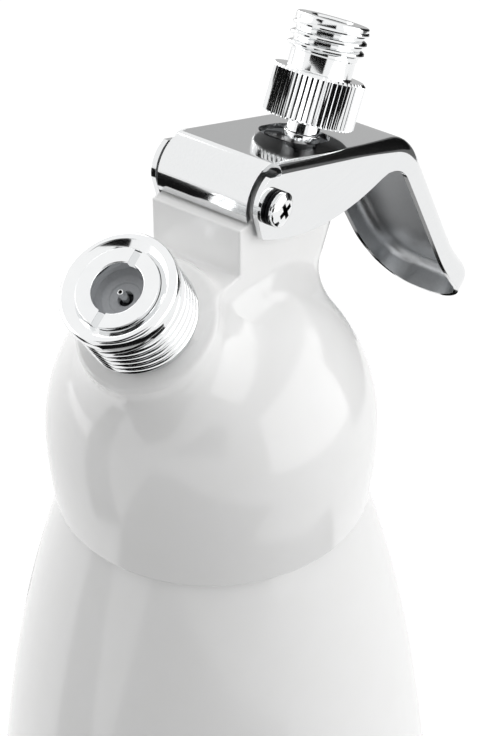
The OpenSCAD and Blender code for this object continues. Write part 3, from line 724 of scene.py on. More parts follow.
# %% [markdown]
# ## Settling onto the form
# The form's value says how far a point is from the skin, and its slope says which way to
# go. A few steps of that size put any nearby point on the skin. The same slope is also
# the direction in which the skin faces, which later gives the smoothest shading.


# %% Settling
def head_form(points):
    """Below zero inside the casting, zero on its skin. Points are in millimetres."""
    stem = line_frame(points, stem_foot / MM, stem_way)
    inlet = line_frame(points, inlet_foot / MM, inlet_way)
    return np.maximum(outer_skin(points, stem, inlet), -hollows(points, stem, inlet))


def head_slope(points, step=0.01):
    """Which way the form grows, at each point."""
    ways = [head_form(points + step * way) - head_form(points - step * way) for way in np.eye(3)]
    slope = np.stack(ways, axis=1)
    return slope / np.maximum(np.linalg.norm(slope, axis=1, keepdims=True), 1e-12)


def settle(points, rounds, reach=1.2):
    """Moves points onto the skin."""
    for _ in range(rounds):
        points = points - np.clip(head_form(points), -reach, reach)[:, None] * head_slope(points)
    return points


beside_neck = settle(np.array([[0.0, -20.0, 260.0]]), rounds=10)[0]
print("a point beside the neck settles at", np.round(beside_neck, 2), "mm")

# %% [markdown]
# ## Roughing out the head
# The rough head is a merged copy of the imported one, remeshed into even small squares.
# A voxel remesh gives the casting one closed skin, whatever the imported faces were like.

# %% Rough head
VOXEL = 0.85
rough = bmesh.new()
rough.from_mesh(frame["nodes"]["head"].data)
bmesh.ops.remove_doubles(rough, verts=rough.verts, dist=0.00001)
rough_mesh = bpy.data.meshes.new("head_casting")
rough.to_mesh(rough_mesh)
rough.free()
head = bpy.data.objects.new("head_casting", rough_mesh)
bpy.context.scene.collection.objects.link(head)
grid = head.modifiers.new("even_grid", "REMESH")
grid.mode = "VOXEL"
grid.voxel_size = VOXEL * MM
squares = bpy.data.meshes.new_from_object(head.evaluated_get(bpy.context.evaluated_depsgraph_get()))
head.modifiers.clear()
print("rough head:", len(squares.polygons), "squares")

# %% [markdown]
# ## Rubbing the head smooth
# The squares settle onto the form. Then only the edges whose two ends face differently are
# cut again, so the tight edges get fine faces and the broad dome keeps coarse ones. At
# last each point is told which way the form faces there, so the enamel has no facets.

# %% Head casting
TURN_LIMIT = 11
FINEST = 0.22
CUTS = 2
FIRST_ROUNDS = 10
LATER_ROUNDS = 4
least_alike = math.cos(math.radians(TURN_LIMIT))
cast = bmesh.new()
cast.from_mesh(squares)
for level in range(CUTS + 1):
    spots = settle(np.array([v.co for v in cast.verts]) / MM, LATER_ROUNDS if level else FIRST_ROUNDS)
    facing = head_slope(spots)
    for v, spot in zip(cast.verts, spots):
        v.co = Vector(spot) * MM
    if level == CUTS:
        break
    bent = [e for e in cast.edges if e.calc_length() > FINEST * MM
            and float(facing[e.verts[0].index] @ facing[e.verts[1].index]) < least_alike]
    bmesh.ops.subdivide_edges(cast, edges=bent, cuts=1, use_grid_fill=True)
    bmesh.ops.triangulate(cast, faces=[f for f in cast.faces if len(f.verts) > 4])
    cast.verts.index_update()
bmesh.ops.triangulate(cast, faces=cast.faces)
cast.to_mesh(head.data)
cast.free()
dress(head, "head", edge_angle=60)
spots = np.array([v.co for v in head.data.vertices]) / MM
head.data.normals_split_custom_set_from_vertices([tuple(n) for n in head_slope(spots, step=0.05)])

# %% [markdown]
# ## The lever
# It was pressed from one flat blank: a top plate, two cheeks folded down beside the neck,
# a nose rolled round in front of the pivot, and a handle whose edges are folded down and
# run round its end. The press gave the handle's folds a larger radius than the cheeks'.
# So the sheet is drawn as one strip along a spine, with a fold round its whole border.

# %% The lever's spine
PLATE_RISE = 7.65
PLATE = 42.5
BEND_R = 17
BEND = -40.2
HANDLE = 32
SWELL_R = 60
SWELL = 9
TIP = 12.5
MOVES = [(PLATE, 0), (BEND_R * math.radians(-BEND), BEND), (HANDLE, 0),
         (SWELL_R * math.radians(SWELL), SWELL), (TIP, 0)]
LENGTH = sum(length for length, _ in MOVES)


def on_spine(s, y, depth):
    """Point at a length along the top line, a place across it and a depth under the top face."""
    spot, heading = Vector((0, PLATE_RISE)), 0.0
    for length, turn in MOVES:
        part = min(s, length)
        bend = math.radians(turn) * part / length
        chord = part * math.sin(bend / 2) / (bend / 2) if bend else part
        spot += Vector((math.cos(heading + bend / 2), math.sin(heading + bend / 2))) * chord
        heading += bend
        s -= part
    return Vector((spot.x + depth * math.sin(heading), y, spot.y - depth * math.cos(heading)))


print("the lever is", round(LENGTH, 1), "mm along its top")

# %% [markdown]
# ## How far the sheet is folded
# The fold is small along the plate and larger along the handle. The cheeks hang low beside
# the neck and rise on a long round sweep to the bend, where they run over into the
# handle's turned-down edge. At the tip that edge sags a little in the middle.

# %% Folds and edges of the lever
SHEET = 1.0
LEVER_HALF = 11.5
FOLD_R = 1.9
HANDLE_FOLD_R = 3.4
FOLD_FROM = 26
FOLD_TO = 62
TIP_ROUND = 8
TIP_SAG = 1.3
FLANGE = 6.0
SWEEP_R = 62
SWEEP_X = 9
SWEEP_LOW = -6.7
SWEEP_EASE = 0.7


def smooth(low, high, value):
    """Goes softly from 0 at low to 1 at high."""
    u = max(0.0, min(1.0, (value - low) / (high - low)))
    return u * u * (3 - 2 * u)


def fold_radius(s):
    """Small along the plate, larger along the handle."""
    return FOLD_R + (HANDLE_FOLD_R - FOLD_R) * smooth(FOLD_FROM, FOLD_TO, s)


def sweep(x):
    """Height of the cheek's lower edge."""
    return SWEEP_LOW + SWEEP_R - math.sqrt(SWEEP_R ** 2 - (x - SWEEP_X) ** 2)


def edge_depth(s, y):
    """How far the cheek or the flange reaches down from the top face."""
    cheek = PLATE_RISE - sweep(min(s, PLATE))
    tip = TIP_SAG * smooth(LENGTH - 2 * TIP_ROUND, LENGTH, s) * (1 - (y / LEVER_HALF) ** 2)
    return (cheek + FLANGE + math.hypot(cheek - FLANGE, SWEEP_EASE)) / 2 + tip


print("the cheeks reach down", round(edge_depth(SWEEP_X, LEVER_HALF), 1), "mm, the flanges", FLANGE, "mm")

# %% [markdown]
# ## The lever's border
# The border runs along the near edge, round the tip and back along the far edge. Each
# station on it has a place on the spine and the direction in which the sheet turns down.

# %% Border of the lever
TIP_SHARE = 0.93
PLATE_STATIONS = 22
HANDLE_STATIONS = 40
CORNER_STEP = 9
border = []
side_end = LENGTH - TIP_ROUND
along_plate = np.linspace(0, PLATE, PLATE_STATIONS).tolist()
along_handle = np.linspace(PLATE, side_end, HANDLE_STATIONS).tolist()
for s in along_plate + along_handle[1:]:
    wide = LEVER_HALF * (1 - (1 - TIP_SHARE) * smooth(PLATE, LENGTH, s))
    border.append((s, -wide, 0.0))
flat_half = LEVER_HALF * TIP_SHARE - TIP_ROUND
for turn in range(CORNER_STEP, 91, CORNER_STEP):
    a = math.radians(turn)
    border.append((side_end + TIP_ROUND * math.sin(a), -flat_half - TIP_ROUND * math.cos(a), a))
border.append((LENGTH, 0.0, math.pi / 2))
border += [(s, -y, math.pi - a) for s, y, a in reversed(border[:-1])]
print("the border has", len(border), "stations")

# %% [markdown]
# ## Folding the lever
# At each station of the border, the sheet turns down by a quarter round and then runs
# straight to its edge. Faces join each such rib to the next one, and the flat top lies
# between the two sides. It is one strip, because the real one is one sheet.

# %% Top, folds and edges
FOLD_STEPS = 6
blank = bmesh.new()
ribs = []
for s, y, a in border:
    r = fold_radius(s)
    rib = []
    for k in range(FOLD_STEPS + 1):
        turn = math.pi / 2 * k / FOLD_STEPS
        inward = r * (1 - math.sin(turn))
        spot = on_spine(s - inward * math.sin(a), y + inward * math.cos(a), r * (1 - math.cos(turn)))
        rib.append(blank.verts.new(spot))
    rib.append(blank.verts.new(on_spine(s, y, edge_depth(s, y))))
    ribs.append(rib)
for rib, after in zip(ribs, ribs[1:]):
    for k in range(FOLD_STEPS + 1):
        blank.faces.new((rib[k], after[k], after[k + 1], rib[k + 1]))
middle = len(ribs) // 2
for j in range(middle):
    strip = [ribs[j][0], ribs[j + 1][0], ribs[-2 - j][0], ribs[-1 - j][0]]
    blank.faces.new(strip if j + 1 < middle else [strip[0], strip[1], strip[3]])
print("the strip has", len(blank.faces), "faces")

# %% [markdown]
# ## Cheeks and nose
# The front of each cheek is added as a flat piece that rounds up to the plate. The nose is
# the plate's own front edge, rolled on round a centre below it, which leaves a slit at
# each end between the nose and the cheek, as the press tool did.

# %% Cheeks and nose
NOSE_R = 6.4
NOSE_ROLL = 130
NOSE_STEPS = 26
CHEEK_SET_BACK = 0.7
CHEEK_TURN_END = 205
CHEEK_STEPS = 10
CHEEK_FOOT_XS = (-1.77, -0.9)
front_r = NOSE_R - CHEEK_SET_BACK
centre_h = PLATE_RISE - NOSE_R
top_turn = 180 - math.degrees(math.asin((PLATE_RISE - FOLD_R - centre_h) / front_r))
cheek_turns = np.radians(np.linspace(top_turn, CHEEK_TURN_END, CHEEK_STEPS)).tolist()
profile = [(front_r * math.cos(a), centre_h + front_r * math.sin(a)) for a in cheek_turns]
profile += [(x, sweep(x)) for x in CHEEK_FOOT_XS]
for rib in (ribs[0], ribs[-1]):
    y = rib[-1].co.y
    blank.faces.new([rib[-2], *(blank.verts.new((x, y, z)) for x, z in profile), rib[-1]])
lip = [ribs[0][0], ribs[-1][0]]
bmesh.ops.spin(blank, geom=[*lip, blank.edges.get(lip)], cent=(0, 0, centre_h), axis=(0, 1, 0),
               angle=math.radians(-NOSE_ROLL), steps=NOSE_STEPS)
close(blank)
highest = max(blank.faces, key=lambda f: f.calc_center_median().z)
if highest.normal.z < 0:
    bmesh.ops.reverse_faces(blank, faces=blank.faces)
bmesh.ops.transform(blank, matrix=at_pivot, verts=blank.verts)
blank_mesh = bpy.data.meshes.new("lever_sheet")
blank.to_mesh(blank_mesh)
blank.free()
lever = bpy.data.objects.new("lever_sheet", blank_mesh)
bpy.context.scene.collection.objects.link(lever)
print("the folded sheet has", len(blank_mesh.polygons), "faces")

# %% [markdown]
# ## Cutting
# Holes and slots are cut with closed shapes, as a punch or a drill would. An exact Boolean
# takes each one out, and the result becomes the mesh at once, so the tool can be thrown
# away and the piece stays plain.


# %% Cutting helpers
def cutter(name, shape, place):
    """A closed shape used only to cut with."""
    bmesh.ops.transform(shape, matrix=place, verts=shape.verts)
    mesh = bpy.data.meshes.new(name)
    shape.to_mesh(mesh)
    shape.free()
    return bpy.data.objects.new(name, mesh)


def rod(radius, low, high, stretch=0, sides=64):
    """A round rod, or a slot's shape where it is stretched along X."""
    shape = bmesh.new()
    bmesh.ops.create_cone(shape, cap_ends=True, segments=sides,
                          radius1=radius, radius2=radius, depth=high - low)
    bmesh.ops.translate(shape, verts=shape.verts, vec=(0, 0, (low + high) / 2))
    for v in shape.verts:
        v.co.x += stretch / 2 if v.co.x > 0 else -stretch / 2
    return shape


def block(size):
    """A box of that size round the origin."""
    shape = bmesh.new()
    bmesh.ops.create_cube(shape, size=1)
    bmesh.ops.scale(shape, verts=shape.verts, vec=size)
    return shape


def apply_all(made):
    """Makes an object's modifiers part of its mesh."""
    bpy.context.view_layer.update()
    evaluated = made.evaluated_get(bpy.context.evaluated_depsgraph_get())
    done = bpy.data.meshes.new_from_object(evaluated)
    made.modifiers.clear()
    made.data = done


def cut(made, *tools):
    """Takes each cutter out of a piece, and marks the sharp edges anew."""
    for tool in tools:
        bpy.context.scene.collection.objects.link(tool)
        knife = made.modifiers.new("cut", "BOOLEAN")
        knife.operation = "DIFFERENCE"
        knife.solver = "EXACT"
        knife.object = tool
        apply_all(made)
        bpy.data.objects.remove(tool)
    made.data.set_sharp_from_angle(angle=math.radians(EDGE_ANGLE))


crosswise = Matrix.Rotation(math.pi / 2, 4, "X")
print("cutters across the object turn by", crosswise.to_euler())

# %% [markdown]
# ## Thickness, holes and edges of the lever
# The sheet gets its thickness inwards, and the inside takes the rolled finish with its
# painted shade. The hole for the stem was punched long, so that the stem can rock in it as
# the lever turns. The cheeks are drilled for the pivot. A last small bevel takes the
# sharpness off each edge.

# %% Cut and finish the lever
STEM_X = 24.456
SLOT_R = 5.8
SLOT_STRETCH = 3.5
SLOT_SHIFT = -2.65
PUNCH_FOOT = 4
PUNCH_TOP = 12
PIVOT_DRILL_R = 2.05
DRILL_REACH = 15
DEBURR = 0.16
DEBURR_ANGLE = 50
thick = lever.modifiers.new("sheet", "SOLIDIFY")
thick.thickness = SHEET * MM
thick.offset = -1
thick.use_even_offset = True
lever.data.materials.append(steel)
lever.data.materials.append(mill_skin_and_shade)
thick.material_offset = 1
apply_all(lever)
over_slot = at_pivot @ Matrix.Translation((STEM_X + SLOT_SHIFT, 0, 0))
punch = rod(SLOT_R, PUNCH_FOOT, PUNCH_TOP, SLOT_STRETCH)
drill = rod(PIVOT_DRILL_R, -DRILL_REACH, DRILL_REACH)
cut(lever, cutter("stem_slot", punch, over_slot), cutter("pivot_drill", drill, at_pivot @ crosswise))
side_of_face = [face.material_index for face in lever.data.polygons]
dress(lever, "lever")
lever.data.materials.append(mill_skin_and_shade)
lever.data.polygons.foreach_set("material_index", side_of_face)
soft = lever.modifiers.new("deburr", "BEVEL")
soft.limit_method = "ANGLE"
soft.angle_limit = math.radians(DEBURR_ANGLE)
soft.width = DEBURR * MM
soft.segments = 2
even = lever.modifiers.new("even_normals", "WEIGHTED_NORMAL")
even.keep_sharp = True
print(sum(side_of_face), "faces of the lever keep the rolled skin")

# %% [markdown]
# ## The nozzle adapter
# One turned and knurled piece: a grip ring, a plain neck and a thread for the nozzles.
# The knurl was rolled in after turning, so it stops at the chamfers. The ring is spun with
# eight columns of faces to each ridge, and the columns between the ridges are pressed in.
# The bottoms of the grooves and the ring's underside are painted dark, as painted shade.

# %% Nozzle adapter
RING_S = 74.95
RING_R = 9.06
RING_H = 9.0
TOP_CHAMFER_R = 8.45
RIDGES = 54
GROOVE = 0.42
GROOVE_SHAPE = (0, 0.2, 0.45, 0.75, 1, 0.75, 0.45, 0.2)
COLUMNS = len(GROOVE_SHAPE)
NECK_R = 6.1
THREAD_ROOT_R = 6.3
LEAD_R = 6.9
ADAPTER_H = 19.0
BORE_R = 3.8
adapter = lathe([(3.05, 0, 0.2), (8.75, 0), (RING_R, 0.3), (RING_R, RING_H - 0.5), (TOP_CHAMFER_R, RING_H),
                 (NECK_R, RING_H, 0.3), (NECK_R, 12.2), (THREAD_ROOT_R, 12.5), (THREAD_ROOT_R, 17.2),
                 (LEAD_R, 17.6), (LEAD_R, ADAPTER_H, 0.45), (4.3, ADAPTER_H, 0.2), (BORE_R, 18.6),
                 (BORE_R, 9.1), (1.2, 9.1), (1.2, 7.6), (3.05, 7.6)], closed=True, steps=RIDGES * COLUMNS)
for v in adapter.verts:
    out = Vector((v.co.x, v.co.y, 0))
    if out.length > RING_R - 0.02:
        column = round(math.atan2(v.co.y, v.co.x) / math.tau * RIDGES * COLUMNS) % COLUMNS
        v.co -= out.normalized() * GROOVE * GROOVE_SHAPE[column]
nozzle_ridge = [(6.2, 0), (6.75, 0.22), (7.1, 0.48), (7.2, 0.75), (7.1, 1.02), (6.75, 1.28), (6.2, 1.5)]
with_thread(adapter, thread(nozzle_ridge, 3, 1.9, start=11.7))
at_ring = on_stem @ Matrix.Translation((0, 0, RING_S))
bmesh.ops.transform(adapter, matrix=at_ring, verts=adapter.verts)


def in_painted_shade(spot):
    """True for the ring's underside and for the bottom of a groove, which get painted shade."""
    in_groove = RING_R - GROOVE < spot.xy.length < RING_R - 0.8 * GROOVE
    return spot.z < 0.05 or (in_groove and 0.6 < spot.z < RING_H - 0.6)


# The bottoms of the grooves and the ring's underside get painted shade.
paint_shade_on(piece("knurled_adapter", adapter, "nozzle_adapter", edge_angle=28), at_ring, in_painted_shade)

# %% [markdown]
# ## The valve stem
# A turned rod with a collar, which the lever presses, and a shoulder that stands in the
# lever's slot. Its upper end is hollow, and a cross hole lets the cream in. Only the
# shoulder and a little of the shaft show under the grip ring, and there they carry the
# brightest small reflections of all. The collar below them is painted dark, as painted shade.

# %% Valve stem
COLLAR_TOP = 70.85
COLLAR_FOOT = COLLAR_TOP - 1.6
COLLAR_R = 6.8
SHOULDER_TOP = COLLAR_TOP + 1.55
STEM_R = 3.1
TAIL_R = 2.3
GROOVE_R = 2.08
STEM_BORE_R = 1.2
STEM_BORE_FOOT = 35.3
stem = lathe([(0, 27.8), (TAIL_R, 27.8, 0.3), (TAIL_R, 33.5), (STEM_R, 33.5, 0.2), (STEM_R, 42.8),
              (GROOVE_R, 42.8), (GROOVE_R, 44.2), (STEM_R, 44.2), (STEM_R, COLLAR_FOOT),
              (COLLAR_R, COLLAR_FOOT, 0.25), (COLLAR_R, COLLAR_TOP, 0.25), (3.5, COLLAR_TOP),
              (3.5, SHOULDER_TOP, 0.2), (STEM_R, SHOULDER_TOP + 0.05), (STEM_R, RING_S - 0.1, 0.1),
              (3.0, RING_S - 0.1), (3.0, 81.3, 0.3), (STEM_BORE_R, 81.3),
              (STEM_BORE_R, STEM_BORE_FOOT), (0, STEM_BORE_FOOT)], steps=96)
bmesh.ops.transform(stem, matrix=on_stem, verts=stem.verts)
stem_piece = piece("turned_stem", stem, "valve_stem")
at_foot_of_bore = on_stem @ Matrix.Translation((0, 0, STEM_BORE_FOOT)) @ crosswise
cut(stem_piece, cutter("cream_hole", rod(0.9, -5, 5, sides=32), at_foot_of_bore))
# The collar gets painted shade.
paint_shade_on(stem_piece, on_stem, lambda spot: COLLAR_FOOT - 0.1 < spot.z < COLLAR_TOP + 0.1)

# %% [markdown]
# ## The two springs
# A wound spring under the collar pushes the stem back up, and a finer one closes the check
# valve in the inlet. Each gets shorter as its piece is pressed. Here each is wound as one
# round wire on its own tilted line, from its seat up to the moving piece, and gets a mesh
# of its own.


# %% Springs
def wind_spring(name, node, foot, way, coil_r, wire_r, turns, low, high):
    """Winds a spring between two heights on a line, and gives it a mesh of its own."""
    wire_section = [(coil_r + wire_r * math.cos(a), wire_r * math.sin(a))
                    for a in np.linspace(0, math.tau, 12, endpoint=False).tolist()]
    rise = (high - low - 2 * wire_r) / turns
    shape = thread(wire_section, turns, rise, start=low + wire_r, fade=0)
    bmesh.ops.transform(shape, matrix=along(foot, way), verts=shape.verts)
    coil = piece(name, shape, node)
    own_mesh(coil)


wind_spring("wound_spring", "valve_spring", stem_foot, stem_way,
            coil_r=4.35, wire_r=0.45, turns=6, low=WELL_FLOOR + 0.1, high=COLLAR_TOP - 1.7)
wind_spring("check_coil", "check_spring", inlet_foot, inlet_way,
            coil_r=2.95, wire_r=0.24, turns=6, low=18.15, high=32.05)

# %% [markdown]
# ## The charger inlet
# The nipple is turned with a fine outside thread, and with a plain band under its rim
# where the thread tool ran out. The rim is rounded outside and falls inwards to a seat.

# %% Inlet nipple
RIM_T = 49.8
RIM_R_OUT = 10.84
CORE_R = 9.9
NIPPLE_SEAT = 36
RING_SEAT = 47.2
INLET_TURNS = 5.7
INLET_PITCH = 1.55
nipple = lathe([(4.2, 15), (6.3, 15, 0.3), (6.3, NIPPLE_SEAT), (CORE_R, NIPPLE_SEAT), (CORE_R, 47.3),
                (RIM_R_OUT, 47.6, 0.15), (RIM_R_OUT, RIM_T, 0.9), (9.3, RIM_T, 0.5), (8.1, 49.0),
                (7.75, 48.9), (7.7, RING_SEAT), (6.0, RING_SEAT), (6.0, 40.9), (1.5, 40.9), (1.5, 34.5),
                (4.2, 34.5)], closed=True, steps=192)
inlet_ridge = [(9.8, 0), (10.2, 0.17), (10.5, 0.4), (10.6, 0.66), (10.5, 0.92), (10.2, 1.15), (9.8, 1.32)]
with_thread(nipple, thread(inlet_ridge, INLET_TURNS, INLET_PITCH, start=NIPPLE_SEAT + 0.3))
bmesh.ops.transform(nipple, matrix=on_inlet, verts=nipple.verts)
piece("inlet_nipple_turned", nipple, "inlet_nipple")

# %% [markdown]
# ## Slotted ring, seal and pin
# A ring is screwed into the rim with a two-pegged key, for which it has a slot on each
# side. One bar through the middle cuts both. The ring holds a silicone seal, and in the
# middle stands the hollow pin that opens the charger.

# %% Slotted ring
KEY_SLOT = (18, 1.5, 3)
ring_shape = lathe([(4.78, RING_SEAT), (7.65, RING_SEAT), (7.65, 49.75, 0.15), (4.78, 49.75, 0.25)],
                   closed=True, steps=128)
bmesh.ops.transform(ring_shape, matrix=on_inlet, verts=ring_shape.verts)
ring_piece = piece("slotted_ring_turned", ring_shape, "slotted_ring")
cut(ring_piece, cutter("key_slots", block(KEY_SLOT), on_inlet @ Matrix.Translation((0, 0, 50))))

# %% Seal and pin
SEAL_FOOT = 44.4
PIN_FOOT = 40.9
PIN_TOP = 48.1
PIN_R = 0.7
PIN_BORE_R = 0.35
seal = lathe([(1.4, SEAL_FOOT), (6.0, SEAL_FOOT, 0.2), (6.0, RING_SEAT), (4.9, RING_SEAT, 0.3),
              (4.2, 45.9, 0.4), (3.0, 45.9, 0.3), (2.8, 45.6, 0.2), (1.4, 45.6, 0.3)], closed=True, steps=96)
bmesh.ops.transform(seal, matrix=on_inlet, verts=seal.verts)
piece("moulded_seal", seal, "charger_gasket")
pin = lathe([(PIN_BORE_R, PIN_FOOT), (PIN_R, PIN_FOOT), (PIN_R, PIN_TOP - 0.7), (0.5, PIN_TOP, 0.1),
             (PIN_BORE_R, PIN_TOP, 0.05)], closed=True, steps=32)
bmesh.ops.transform(pin, matrix=on_inlet, verts=pin.verts)
piece("hollow_pin", pin, "piercing_pin")

# %% [markdown]
# ## The pivot
# A barrel runs through cheeks and neck and a screw goes into it. The near side shows the
# screw's domed head with its cross recess on a dark washer, and the far side the barrel's
# own head. Both heads are domed by a large radius and have a rolled edge. The recess is
# punched with two tapered blades, and its bottom is painted dark, as painted shade.

# %% Cross screw
WASHER_Y = LEVER_HALF + 0.1
HEAD_Y = WASHER_Y + 0.7
HEAD_R = 3.25
HEAD_TOP = HEAD_Y + 1.5
SCREW_R = 1.25
SCREW_END = 8.6
BLADE = (4.6, 1.15, 2.2)
BLADE_TAPER = (0.45, 0.7)
BLADE_TURNS = (20, 110)
RECESS_R = 2.35
head_outline = [(HEAD_R, HEAD_Y, 0.12), (HEAD_R, HEAD_Y + 0.95, 0.5), (2.1, HEAD_Y + 1.45, 1.2),
                (0, HEAD_TOP)]
centred = along(pivot, Vector((0, 0, 1)))
out_near = centred @ Matrix.Rotation(math.pi / 2, 4, "X")
out_far = centred @ Matrix.Rotation(-math.pi / 2, 4, "X")
screw = lathe([(0, SCREW_END), (SCREW_R, SCREW_END, 0.2), (SCREW_R, HEAD_Y), *head_outline], steps=96)
bmesh.ops.transform(screw, matrix=out_near, verts=screw.verts)
screw_piece = piece("cross_screw", screw, "pivot_screw")
for turn in BLADE_TURNS:
    blade = block(BLADE)
    for v in blade.verts:
        if v.co.z < 0:
            v.co.x *= BLADE_TAPER[0]
            v.co.y *= BLADE_TAPER[1]
    spot = out_near @ Matrix.Translation((0, 0, HEAD_TOP)) @ Matrix.Rotation(math.radians(turn), 4, "Z")
    cut(screw_piece, cutter("cross_blade", blade, spot))
# The bottom of the cross recess gets painted shade.
paint_shade_on(screw_piece, out_near, lambda spot: HEAD_Y < spot.z < HEAD_Y + 1.36 and spot.xy.length < RECESS_R)

# %% Barrel and washers
BARREL_R = 2.0
barrel = lathe([(SCREW_R, -HEAD_Y), (BARREL_R, -HEAD_Y, 0.1), (BARREL_R, HEAD_Y), *head_outline, (0, 9.6),
                (SCREW_R, 9.6)], steps=96)
bmesh.ops.holes_fill(barrel, edges=barrel.edges, sides=0)
bmesh.ops.transform(barrel, matrix=out_far, verts=barrel.verts)
piece("pivot_barrel_turned", barrel, "pivot_barrel")
for name, node, outwards in (("near_collar", "near_washer", out_near), ("far_collar", "far_washer", out_far)):
    collar = lathe([(BARREL_R, WASHER_Y), (HEAD_R, WASHER_Y, 0.15), (HEAD_R, HEAD_Y, 0.2),
                    (BARREL_R, HEAD_Y)], closed=True, steps=64)
    bmesh.ops.transform(collar, matrix=outwards, verts=collar.verts)
    piece(name, collar, node)

# %% [markdown]
# ## The studio
# The object stands on a roll of plain white paper. To the camera and in the metal the
# paper glows evenly, so the background stays clean, while the lamps light it as they
# light any paper. Sheets like this one belong to the set and are no part of the object.

# %% Paper floor
AIM = Vector((0.01, 0, 0.28))
FLOOR_SIDE = 8
PAPER_GLOW = 1.08
GLOW_SHARE = 0.86


def sheet_of(name, width, height, material):
    """A flat sheet for the set, which is no part of the object."""
    shape = bmesh.new()
    bmesh.ops.create_grid(shape, x_segments=1, y_segments=1, size=0.5)
    bmesh.ops.scale(shape, verts=shape.verts, vec=(width, height, 1))
    mesh = bpy.data.meshes.new(name)
    shape.to_mesh(mesh)
    shape.free()
    mesh.materials.append(material)
    made = bpy.data.objects.new(name, mesh)
    bpy.context.scene.collection.objects.link(made)
    return made


def either(tree, first, second):
    """Full where a ray is of one of two kinds."""
    return add(tree, "ShaderNodeMath", {0: first, 1: second}, operation="MAXIMUM").outputs[0]


paper = bpy.data.materials.new("white_paper_roll")
paper.use_nodes = True
tree = paper.node_tree
tree.nodes.clear()
rays = add(tree, "ShaderNodeLightPath")
matt = add(tree, "ShaderNodeBsdfDiffuse", {"Color": colour("#F2F2F2")})
glow = add(tree, "ShaderNodeEmission", {"Color": (1, 1, 1, 1), "Strength": PAPER_GLOW})
looked_at = either(tree, rays.outputs["Is Camera Ray"], rays.outputs["Is Glossy Ray"])
share = add(tree, "ShaderNodeMath", {0: looked_at, 1: GLOW_SHARE}, operation="MULTIPLY")
both = add(tree, "ShaderNodeMixShader", {"Fac": share.outputs[0], 1: matt.outputs[0], 2: glow.outputs[0]})
add(tree, "ShaderNodeOutputMaterial", {"Surface": both.outputs[0]})
sheet_of("floor", FLOOR_SIDE, FLOOR_SIDE, paper)
print("the paper is", FLOOR_SIDE, "m wide")

# %% [markdown]
# ## The white room
# The room is white, so that the metal has something bright to mirror. It is far dimmer
# as a lamp than as a background: only a low light comes from all sides, and the soft
# boxes are left to shade the enamel.

# %% White room
ROOM_LIGHT = 0.17
ROOM_WHITE = 1.06
world = bpy.data.worlds.new("white_room")
bpy.context.scene.world = world
world.use_nodes = True
tree = world.node_tree
tree.nodes.clear()
rays = add(tree, "ShaderNodeLightPath")
room = add(tree, "ShaderNodeBackground", {"Color": (1, 1, 1, 1), "Strength": ROOM_LIGHT})
white = add(tree, "ShaderNodeBackground", {"Color": (1, 1, 1, 1), "Strength": ROOM_WHITE})
looked_at = either(tree, rays.outputs["Is Camera Ray"], rays.outputs["Is Glossy Ray"])
sharp = either(tree, looked_at, rays.outputs["Is Transmission Ray"])
mixed = add(tree, "ShaderNodeMixShader", {"Fac": sharp, 1: room.outputs[0], 2: white.outputs[0]})
add(tree, "ShaderNodeOutputWorld", {"Surface": mixed.outputs[0]})
print("the room lights with", ROOM_LIGHT, "and looks", ROOM_WHITE)

# %% [markdown]
# ## Cards
# Polished metal shows what stands round it. So a photographer sets black cards beside the
# camera and behind the handle, and each draws a black line on the metal. Greyer ones give
# the half tones. The cards that lie on the floor are painted shade: in the reflections they
# stand for the floor's shade under and round the object, where the paper glows evenly.
# Only reflections see these cards: they cast no shadow and light nothing. A card is set by
# the directions that it fills from a point on the object, because that is what the metal
# mirrors.


# %% Card helpers
def card_paper(name, code):
    """An even tone for a card, as bright as its colour says."""
    made = bpy.data.materials.new(name)
    made.use_nodes = True
    made.node_tree.nodes.clear()
    tone = add(made.node_tree, "ShaderNodeEmission", {"Color": colour(code)})
    add(made.node_tree, "ShaderNodeOutputMaterial", {"Surface": tone.outputs[0]})
    return made


def hide_from_light(made):
    """Leaves a sheet to reflections alone."""
    made.visible_camera = False
    made.visible_diffuse = False
    made.visible_shadow = False
    made.visible_transmission = False


velvet = card_paper("black_velvet_card", "#141414")
pewter = card_paper("grey_paper_card", "#BDBDBD")
slate = card_paper("slate_paper_card", "#9C9C9C")
ash = card_paper("ash_paper_card", "#6A6A6A")
print("the cards are", [tone.name for tone in (velvet, pewter, slate, ash)])

# %% Cards round the object
CARD_LIFT = 0.001


def card(name, azimuths, elevations, tone=velvet, seen=AIM, distance=0.6):
    """A card that fills that range of directions, as seen from a point on the object."""
    middle = seen_from(sum(azimuths) / 2, sum(elevations) / 2)
    wide = 2 * distance * math.tan(math.radians(azimuths[1] - azimuths[0]) / 2)
    high = 2 * distance * math.tan(math.radians(elevations[1] - elevations[0]) / 2)
    made = sheet_of(name, wide, high, tone)
    turn = middle.to_track_quat("Z", "Y").to_matrix().to_4x4()
    made.data.transform(Matrix.Translation(seen + middle * distance) @ turn)
    hide_from_light(made)


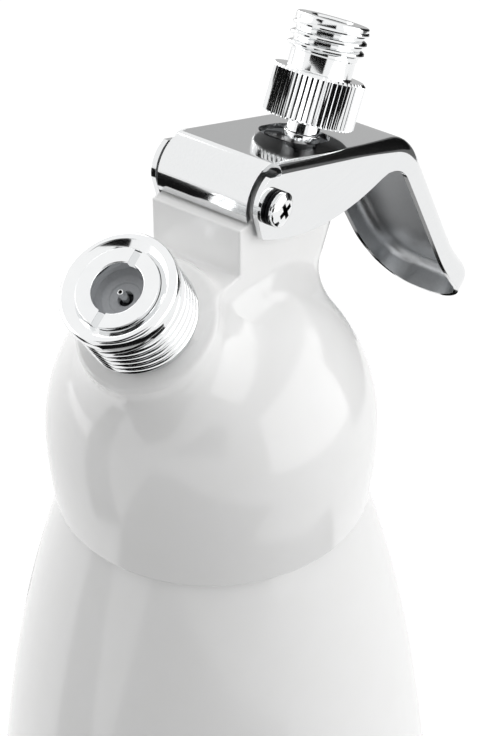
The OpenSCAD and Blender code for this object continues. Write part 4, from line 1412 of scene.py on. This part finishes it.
def floor_shade_card(name, xs, ys, tone=velvet):
    """A card of painted floor shade, lying on the floor between two places along each axis in millimetres."""
    made = sheet_of(name, (xs[1] - xs[0]) * MM, (ys[1] - ys[0]) * MM, tone)
    made.data.transform(Matrix.Translation((sum(xs) / 2 * MM, sum(ys) / 2 * MM, CARD_LIFT)))
    hide_from_light(made)


card("front_card", (-105, -45), (5, 30))
card("inlet_card", (-119, -96), (32, 58), seen=inlet_rim)
card("nose_card", (-138, -120), (-50, -8), seen=pivot, distance=0.36)
card("rear_card", (50, 115), (-25, 15), tone=ash)
card("rear_black_card", (60, 105), (-17, 12), distance=0.58)
card("plate_card", (112, 138), (-26, 13), tone=pewter)
# The cards on the floor are painted shade of the floor, seen only in reflections.
floor_shade_card("near_floor_card", (-120, 150), (-230, 95))
floor_shade_card("inlet_floor_card", (-1800, -120), (-460, 120))
floor_shade_card("far_floor_card", (112, 175), (95, 200))
floor_shade_card("slate_floor_card", (30, 112), (95, 135), tone=slate)
print("the floor's cards lie", CARD_LIFT / MM, "mm over the paper")

# %% [markdown]
# ## Lamps
# Soft boxes stand to the right, behind and above, and little light comes from the
# camera's side, which is why the enamel is greyer there. The boxes over the inlet and
# over the top are left out of reflections, where they would wash out the dark lines.


# %% Lamps
def lamp(name, azimuth, elevation, distance, size, power, mirrored=True):
    """A soft box that looks at the head, and that reflections see only where mirrored."""
    light = bpy.data.lights.new(name, "AREA")
    light.shape = "RECTANGLE"
    light.size, light.size_y = size
    light.energy = power
    made = bpy.data.objects.new(name, light)
    bpy.context.scene.collection.objects.link(made)
    way = seen_from(azimuth, elevation)
    made.location = AIM + way * distance
    made.rotation_euler = way.to_track_quat("Z", "Y").to_euler()
    made.visible_glossy = mirrored
    print(name, "gives", power, "watts")


lamp("right_softbox", 25, 8, 1.1, (2.0, 0.95), 11)
lamp("left_rear_softbox", -154, 4, 1.2, (0.9, 1.0), 5)
lamp("right_rear_softbox", 150, 12, 1.2, (0.9, 1.0), 7)
lamp("inlet_softbox", -95, 45, 1.2, (0.7, 0.6), 2, mirrored=False)
lamp("top_softbox", 0, 88, 1.1, (1.0, 1.0), 5.5, mirrored=False)
